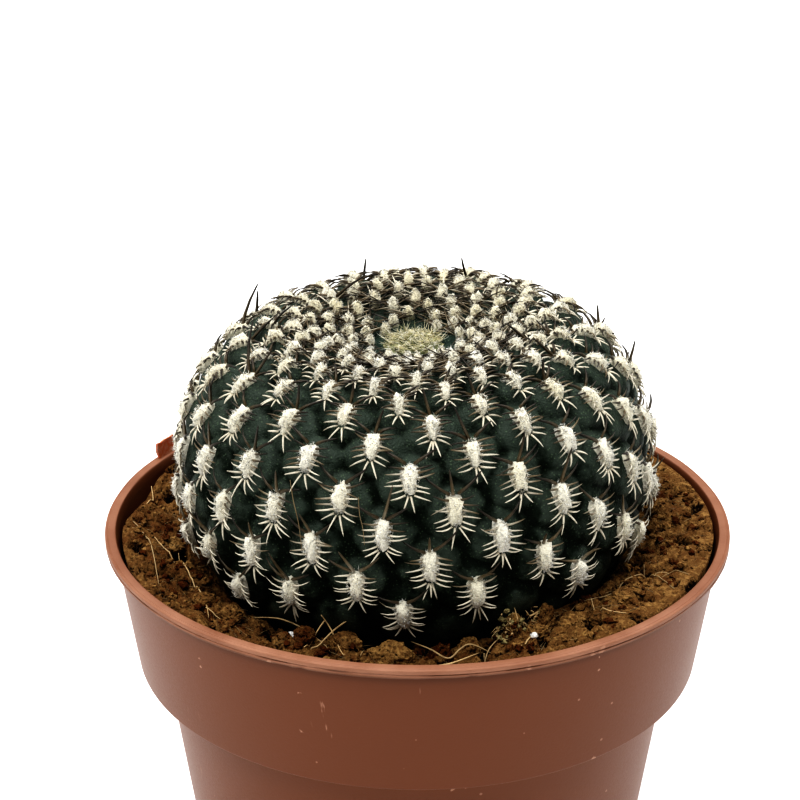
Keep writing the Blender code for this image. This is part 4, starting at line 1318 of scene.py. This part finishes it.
class POTTEDCACTUS_OT_areoles(bpy.types.Operator):
    """Make the felted areoles and their fuzz"""

    bl_idname = "pottedcactus.areoles"
    bl_label = "Areole felt"

    def execute(self, context):
        settings = context.scene.potted_cactus_areoles
        draw = np.random.default_rng(SEED + 7)
        table = grown_areoles()
        tones = self.tones(table, draw)
        felt = felt_finish(settings)
        add_piece("areole_felt", self.pads(table, tones, settings), felt)
        add_piece("areole_fuzz", self.fuzz(table, tones, settings, draw), felt)
        return {"FINISHED"}

    def tones(self, table, draw):
        """From white to cream: creamier high on the back, with some difference from one to the next."""
        _, azimuth, arc, _ = table.T
        back = 0.5 - 0.5 * np.cos(azimuth)
        high = np.clip((arc - 0.010) / 0.025, 0.0, 1.0)
        return np.clip(0.26 + 0.40 * back * high + draw.normal(0.0, 0.14, len(table)), 0.0, 0.9)

    def size(self, table, settings):
        """Half length, half width and rise of each pad."""
        scale = table[:, 3]
        half_length = pad_length(scale) / 2 * settings.size
        half_width = pad_width(scale) / 2 * settings.size
        return half_length, half_width, PAD_RISE * np.interp(scale, (0.31, 0.45, 0.7), (1.20, 1.25, 1.10))

    def on_pad(self, table, across, along, lift):
        _, azimuth, arc, scale = (column[:, None] for column in table.T)
        arcs = np.minimum(arc + along, CROWN_CENTRE - 0.0005)
        bent = lift - pad_arch(scale) * (2.0 * along / pad_length(scale)) ** 2
        return plant_points(azimuth + across / np.maximum(plant_radius(arcs), 0.002), arcs, bent)

    def pads(self, table, tones, settings):
        """Felt cushions: a small lump with blunt ends, bent over its tubercle."""
        mesh, points = repeat("areole_pads", ball(12, 6), len(table))
        blunt = np.sqrt((1.0 - 0.99 * points[:, 1] ** 4) / (1.0 - 0.99 * points[:, 1] ** 2))
        points *= np.stack([blunt, np.ones_like(blunt), blunt], axis=-1)
        half_length, half_width, rise = (column[:, None] for column in self.size(table, settings))
        seats = points[None] * (1.0, 1.6, 1.0) + np.arange(len(table))[:, None, None] * (2.3, 0.0, 0.0)
        seats = [Vector(seat) for seat in seats.reshape(-1, 3)]
        lumps = [0.30 * noise.noise(seat * 1.3) + 0.24 * noise.noise(seat * 3.4) for seat in seats]
        swell = 0.88 + np.array(lumps).reshape(len(table), len(points))
        x, y, z = points.T
        across = x[None] * half_width * swell * (1.0 + 0.25 * y[None])
        lift = np.where(z[None] > 0.0, z[None] * (rise + PAD_SINK) * swell, z[None] * 0.0004) - PAD_SINK
        set_coordinates(mesh, self.on_pad(table, across, y[None] * half_length * swell, lift))
        set_attributes(mesh, tone=np.repeat(tones * 0.6 + 0.4, len(points)))
        mesh.shade_smooth()
        return mesh

    def fuzz(self, table, tones, settings, draw):
        """Short hairs that break up each cushion's edge, most of them combed down and outwards."""
        count = settings.fuzz
        shape = (len(table), count)
        spin = draw.uniform(0.0, math.tau, shape)
        height = draw.uniform(0.02, 1.0, shape)
        flat = np.sqrt(1.0 - height**2)
        x, y = flat * np.cos(spin), flat * np.sin(spin)
        half_length, half_width, rise = (column[:, None] for column in self.size(table, settings))
        wide = half_width * (1.0 + 0.25 * y)
        lift = height * (rise + PAD_SINK) * 0.95 - PAD_SINK
        roots = self.on_pad(table, x * wide * 0.90, y * half_length * 0.86, lift)
        side, climb, out = (vector[:, None] for vector in plant_frames(table[:, 1], table[:, 2]))
        messy = draw.normal(0.0, 0.45, (*shape, 3))
        aim = side * (x * 1.1)[..., None] + climb * (y * 0.8 - 0.10)[..., None]
        directions = unit(aim + out * (height + 0.2)[..., None] + messy)
        scale = np.broadcast_to(table[:, 3:4] ** 0.4, shape)
        thick = draw.random(shape) < 0.55
        short, long = draw.uniform(0.00022, 0.00045, shape), draw.uniform(0.0004, 0.0007, shape)
        stout, thin = draw.uniform(0.00009, 0.00013, shape), draw.uniform(0.000035, 0.000055, shape)
        lengths, radii = np.where(thick, short, long) * scale, np.where(thick, stout, thin)
        bends = draw.normal(0.0, 0.35, (*shape, 3))
        flatten = [array.reshape(-1, 3) for array in (roots, directions, bends)]
        tone = (tones[:, None] * 0.7 + draw.uniform(-0.3, 0.4, shape)).ravel()
        return grow("areole_fuzz", needle(3, ()), *flatten, lengths.ravel(), radii.ravel(), tone, 0.7)


# Spines


def spine_finish(settings):
    """Cream when old, dark brown when new, darkest towards the tip."""
    finish = Finish("spine_horn", roughness=0.42)
    tone = finish.attribute("tone")
    along = finish.attribute("along")
    streak = finish.noise(0.0009, 3.0)
    age = finish.fade(tone * (0.70 + along * 0.45) + streak * 0.16, 0.10, 1.05)
    dusty = dim(settings.pale, 0.75)
    stops = [(0.0, settings.pale), (1.0, settings.dark), (0.30, dusty), (0.62, settings.brown)]
    return finish.paint(Base_Color=finish.add("ShaderNodeValToRGB", {"stops": stops}, {"Fac": age}))


class POTTEDCACTUS_OT_spines(bpy.types.Operator):
    """Make the comb spines, tails and upright spines of every areole"""

    bl_idname = "pottedcactus.spines"
    bl_label = "Spines"

    # Levels of the shoulder, how far off a pad's middle spines root, and their least share of full length
    SHOULDER = (-40, -6)
    EDGE_SHARE = 0.22
    LEAST_SHARE = 0.76

    def execute(self, context):
        settings = context.scene.potted_cactus_spines
        draw = random.Random(SEED + 8)
        plan = []
        for level, azimuth, arc, scale in grown_areoles():
            front = 0.5 + 0.5 * math.cos(azimuth)
            if level >= FLANK_LEVEL:
                places = self.flank(arc, front, draw, settings)
            else:
                places = self.crown(level, draw, settings)
            if self.SHOULDER[0] < level < self.SHOULDER[1] and front < 0.85:
                places += self.shoulder(draw, settings)
            plan += [(azimuth, arc, scale, *place) for place in places]
        # A spine roots along its pad, and leaves across, up and away from the plant
        azimuth, arc, scale, along, across, up, away, reach, radius, tone, curl, droop = np.array(plan).T
        roots_arc = arc + along * pad_length(scale) / 2
        edge = np.clip(across, -1.0, 1.0) * pad_width(scale) * self.EDGE_SHARE
        root_lift = 0.0001 + 0.0003 * scale + perch(scale) - pad_arch(scale) * along**2
        roots = plant_points(azimuth + edge / plant_radius(roots_arc), roots_arc, root_lift)
        side, climb, out = plant_frames(azimuth, roots_arc)
        directions = unit(side * across[:, None] + climb * up[:, None] + out * away[:, None])
        bends = climb * curl[:, None] - out * droop[:, None]
        lengths = reach * np.maximum(scale, self.LEAST_SHARE)
        tips = roots + (directions + bends) * lengths[:, None]
        kept = (tips[:, 2] > LOWEST_TIP) & (tips[:, 2] < CAD_BOX[1][2])
        arrays = [array[kept] for array in (roots, directions, bends, lengths, radius, tone)]
        mesh = grow("spines", needle(4, (0.3, 0.6, 0.88)), *arrays, 0.36)
        add_piece("spines", mesh, spine_finish(settings))
        return {"FINISHED"}

    def flank(self, arc, front, draw, settings):
        """A grown areole: comb pairs, pale tails below and long dark ones at the top."""
        found = []
        youth = min(1.0, max(0.0, (arc + 0.004) / 0.030))
        pairs = settings.pairs
        for across in (-1.0, 1.0):
            for index in range(pairs):
                share = index / (pairs - 1)
                top = share > 0.9
                up = np.interp(share, (0.0, 0.3, 0.6, 0.84, 1.0), (-0.46, -0.20, -0.02, 0.12, 0.62))
                reach = np.interp(share, (0.0, 0.3, 0.84, 1.0), (0.0030, 0.0034, 0.0035, 0.0046))
                tone = 0.80 * share + 0.60 * youth - 0.26 + draw.gauss(0.0, 0.12)
                stout = 1.4 if top else 1.0
                found.append((
                    -0.84 + 1.68 * share + draw.uniform(-0.05, 0.05),
                    across, up + draw.gauss(0.0, 0.09), 0.62 + draw.gauss(0.0, 0.10),
                    reach * draw.uniform(0.85, 1.10), settings.radius * draw.uniform(0.9, 1.1) * stout,
                    min(0.9, max(0.0, tone + (0.25 if top else 0.0))),
                    draw.gauss(0.05, 0.10), 0.46 + draw.gauss(0.0, 0.08),
                ))
        for index in range(draw.choice((2, 2, 3))):
            across = (-0.50, 0.45, 0.0)[index]
            found.append((
                -0.90, across + draw.gauss(0.0, 0.16), -1.0, 0.45 + draw.gauss(0.0, 0.10),
                draw.uniform(0.0024, 0.0034), settings.radius, max(0.0, 0.10 * youth + draw.gauss(0.0, 0.04)),
                draw.gauss(0.0, 0.10), draw.gauss(0.25, 0.08),
            ))
        if draw.random() < 0.08 + 0.44 * front:
            found.append((
                0.82, draw.uniform(-0.5, 0.5), 0.80, draw.uniform(0.25, 0.85), draw.uniform(0.0040, 0.0060),
                settings.radius * 1.4, draw.uniform(0.54, 0.68) + 0.25 * youth, draw.gauss(0.0, 0.15), 0.0,
            ))
        return found

    def crown(self, level, draw, settings):
        """A young areole near the crown: dark spines that lie across it, and lower down two pale tails."""
        found = []
        inner = level < -68
        for index in range(8 if inner else 13):
            across = -1.0 if index % 2 else 1.0
            found.append((
                draw.uniform(-0.9, 0.9), across,
                draw.gauss(-0.5 if inner else 0.10, 0.60), 0.34 + draw.gauss(0.0, 0.16),
                draw.uniform(0.0040, 0.0066), settings.radius * draw.uniform(0.60, 0.85),
                draw.uniform(0.45, 1.0), draw.gauss(0.0, 0.18), 0.10 + draw.gauss(0.0, 0.08),
            ))
        for _ in range(2 if level > -54 else 0):
            found.append((
                -0.8, draw.gauss(0.0, 0.55), -1.0, 0.35, draw.uniform(0.0032, 0.0048),
                settings.radius * 0.9, abs(draw.gauss(0.05, 0.10)), 0.0, 0.18,
            ))
        return found

    def shoulder(self, draw, settings):
        """One areole in four of the shoulder has a long dark spine that stands up."""
        if not draw.choice((0, 0, 0, 1)):
            return []
        return [(
            0.6, draw.uniform(-0.9, 0.9), 0.55, 0.85, draw.uniform(0.0070, 0.0110),
            settings.radius * 1.5, draw.uniform(0.8, 1.0), draw.gauss(0.35, 0.12), 0.0,
        )]


# Crown tuft


def tuft_finish():
    """New wool and young spines, from green through straw to cream by tone."""
    finish = Finish("crown_wool", roughness=0.9, Specular_IOR_Level=0.2, Sheen_Weight=0.2)
    tone = finish.attribute("tone")
    green, olive = (0.07, 0.10, 0.06), (0.26, 0.27, 0.15)
    straw, cream = (0.56, 0.50, 0.30), (0.84, 0.82, 0.72)
    stops = [(0.0, green), (1.0, cream), (0.35, olive), (0.65, straw)]
    return finish.paint(Base_Color=finish.add("ShaderNodeValToRGB", {"stops": stops}, {"Fac": tone}))


class POTTEDCACTUS_OT_tuft(bpy.types.Operator):
    """Make the straw-yellow tuft of new wool in the crown"""

    bl_idname = "pottedcactus.tuft"
    bl_label = "Crown tuft"

    RADIUS = 0.0044
    CAP_RISE = 0.0012
    HAIRS = 560
    # How far its middle lies behind the spirals' centre
    BEHIND = 0.0016

    def execute(self, context):
        draw = np.random.default_rng(SEED + 9)
        cap = to_mesh("tuft_cap", ball(48, 16))
        points = coordinates(cap)
        lumps = np.array([noise.noise(Vector(point) * 4.0) for point in points])
        azimuth = np.arctan2(points[:, 0], -points[:, 1])
        share = np.hypot(points[:, 0], points[:, 1])
        reach = share * self.RADIUS * (1.0 + 0.22 * lumps)
        rise = np.where(points[:, 2] > 0.0, points[:, 2] * self.CAP_RISE * (1.0 + lumps), 0.0) - 0.0002
        set_coordinates(cap, plant_points(*self.seat(azimuth, reach), rise))
        set_attributes(cap, tone=np.clip(0.36 + 0.6 * lumps, 0.0, 1.0), along=np.zeros(len(points)))
        turn = draw.uniform(0.0, math.tau, self.HAIRS)
        away = np.sqrt(draw.random(self.HAIRS))
        spin, arcs = self.seat(turn, away * self.RADIUS)
        roots = plant_points(spin, arcs, 0.0004 + 0.0008 * (1.0 - away**2))
        side, climb, out = plant_frames(spin, np.minimum(arcs, CROWN_CENTRE - 0.0004))
        aim = out * draw.uniform(0.0, 0.45, self.HAIRS)[:, None]
        aim = aim + side * draw.normal(0.0, 0.9, self.HAIRS)[:, None]
        aim = aim - climb * (away * 0.5 + draw.normal(0.0, 0.70, self.HAIRS))[:, None]
        bends = draw.normal(0.0, 0.25, (self.HAIRS, 3))
        lengths = draw.uniform(0.0008, 0.0023, self.HAIRS)
        radii = draw.uniform(0.00004, 0.00010, self.HAIRS)
        tones = np.clip(draw.normal(0.74, 0.24, self.HAIRS), 0.0, 1.0)
        hairs = grow("tuft_hairs", needle(3, (0.5,)), roots, unit(aim), bends, lengths, radii, tones)
        mesh = join_meshes("crown_tuft", [cap, hairs])
        add_piece("crown_tuft", mesh, tuft_finish(), ["crown_wool"])
        return {"FINISHED"}

    def seat(self, turn, reach):
        """Azimuths and arcs of places round the tuft's middle."""
        across, ahead = reach * np.sin(turn), reach * np.cos(turn) - self.BEHIND
        return np.arctan2(across, ahead), CROWN_CENTRE - np.hypot(across, ahead)


# Studio


class POTTEDCACTUS_OT_studio(bpy.types.Operator):
    """Set the floor, the soft lights and the camera"""

    bl_idname = "pottedcactus.studio"
    bl_label = "Studio"

    TARGET = Vector((0.0, 0.0, 0.09))
    FLOOR_SIZE = 4.0
    # Name, place, size, and the setting that holds the power
    LIGHTS = (
        ("top_light", (0.0, 0.45, 1.5), 2.4, "top"),
        ("front_light", (-0.25, -0.75, 1.35), 0.7, "front"),
        ("left_light", (-1.3, 0.25, 0.75), 1.1, "side"),
        ("right_light", (1.3, 0.25, 0.75), 1.1, "side"),
    )
    LENS = 81.0
    SENSOR = 36.0
    NEAREST = 0.01
    EYE = (0.0, -0.2758, 0.2246)
    VIEW_ANGLES = (math.radians(67.862), 0.0, math.radians(0.601))

    def execute(self, context):
        settings = context.scene.potted_cactus_studio
        bm = bmesh.new()
        bmesh.ops.create_grid(bm, x_segments=1, y_segments=1, size=self.FLOOR_SIZE)
        floor = place_object("studio_floor", to_mesh("studio_floor", bm))
        white = Finish("pale_floor", roughness=0.9, Specular_IOR_Level=0.0)
        paper = white.noise(0.02, 2.0)
        shade = white.mix(paper * 0.04, settings.floor, (0.85, 0.85, 0.85))
        floor.data.materials.append(white.paint(Base_Color=shade))
        for name, place, size, power in self.LIGHTS:
            lamp = bpy.data.lights.new(name, "AREA")
            lamp.size = size
            lamp.energy = getattr(settings, power)
            item = place_object(name, lamp)
            item.location = place
            item.rotation_euler = (self.TARGET - Vector(place)).to_track_quat("-Z", "Y").to_euler()
        world = bpy.data.worlds.new("studio_sky")
        world.use_nodes = True
        sky = world.node_tree.nodes["Background"].inputs
        sky["Strength"].default_value = settings.sky
        sky["Color"].default_value = (1.0, 1.0, 1.0, 1.0)
        context.scene.world = world
        context.scene.view_settings.view_transform = "Standard"
        context.scene.view_settings.look = "Very High Contrast"
        self.camera(context)
        return {"FINISHED"}

    def camera(self, context):
        lens = bpy.data.cameras.new("camera")
        lens.lens = self.LENS
        lens.sensor_width = self.SENSOR
        lens.clip_start = self.NEAREST
        item = place_object("camera", lens)
        item.location = self.EYE
        item.rotation_euler = self.VIEW_ANGLES
        context.scene.camera = item


# Registration

GROUPS = {
    "potted_cactus_pot": POTTEDCACTUS_PG_pot,
    "potted_cactus_soil": POTTEDCACTUS_PG_soil,
    "potted_cactus_plant": POTTEDCACTUS_PG_plant,
    "potted_cactus_areoles": POTTEDCACTUS_PG_areoles,
    "potted_cactus_spines": POTTEDCACTUS_PG_spines,
    "potted_cactus_studio": POTTEDCACTUS_PG_studio,
}
OPERATORS = (
    POTTEDCACTUS_OT_pot,
    POTTEDCACTUS_OT_soil,
    POTTEDCACTUS_OT_crumbs,
    POTTEDCACTUS_OT_fibres,
    POTTEDCACTUS_OT_skin,
    POTTEDCACTUS_OT_areoles,
    POTTEDCACTUS_OT_spines,
    POTTEDCACTUS_OT_tuft,
    POTTEDCACTUS_OT_studio,
)


class POTTEDCACTUS_PT_panel(bpy.types.Panel):
    """Lists the pieces and their settings"""

    bl_idname = "POTTEDCACTUS_PT_panel"
    bl_label = "Potted cactus"
    bl_space_type = "VIEW_3D"
    bl_region_type = "UI"
    bl_category = "Potted cactus"

    def draw(self, context):
        for group, kind in GROUPS.items():
            box = self.layout.box()
            for name in kind.__annotations__:
                box.prop(getattr(context.scene, group), name)
        for operator in OPERATORS:
            self.layout.operator(operator.bl_idname)


def register():
    for kind in (*GROUPS.values(), *OPERATORS, POTTEDCACTUS_PT_panel):
        bpy.utils.register_class(kind)
    for name, kind in GROUPS.items():
        setattr(bpy.types.Scene, name, PointerProperty(type=kind))


def unregister():
    for name in GROUPS:
        delattr(bpy.types.Scene, name)
    for kind in reversed((*GROUPS.values(), *OPERATORS, POTTEDCACTUS_PT_panel)):
        bpy.utils.unregister_class(kind)


def main():
    register()
    for operator in OPERATORS:
        group, name = operator.bl_idname.split(".")
        getattr(getattr(bpy.ops, group), name)()


if __name__ == "__main__":
    main()
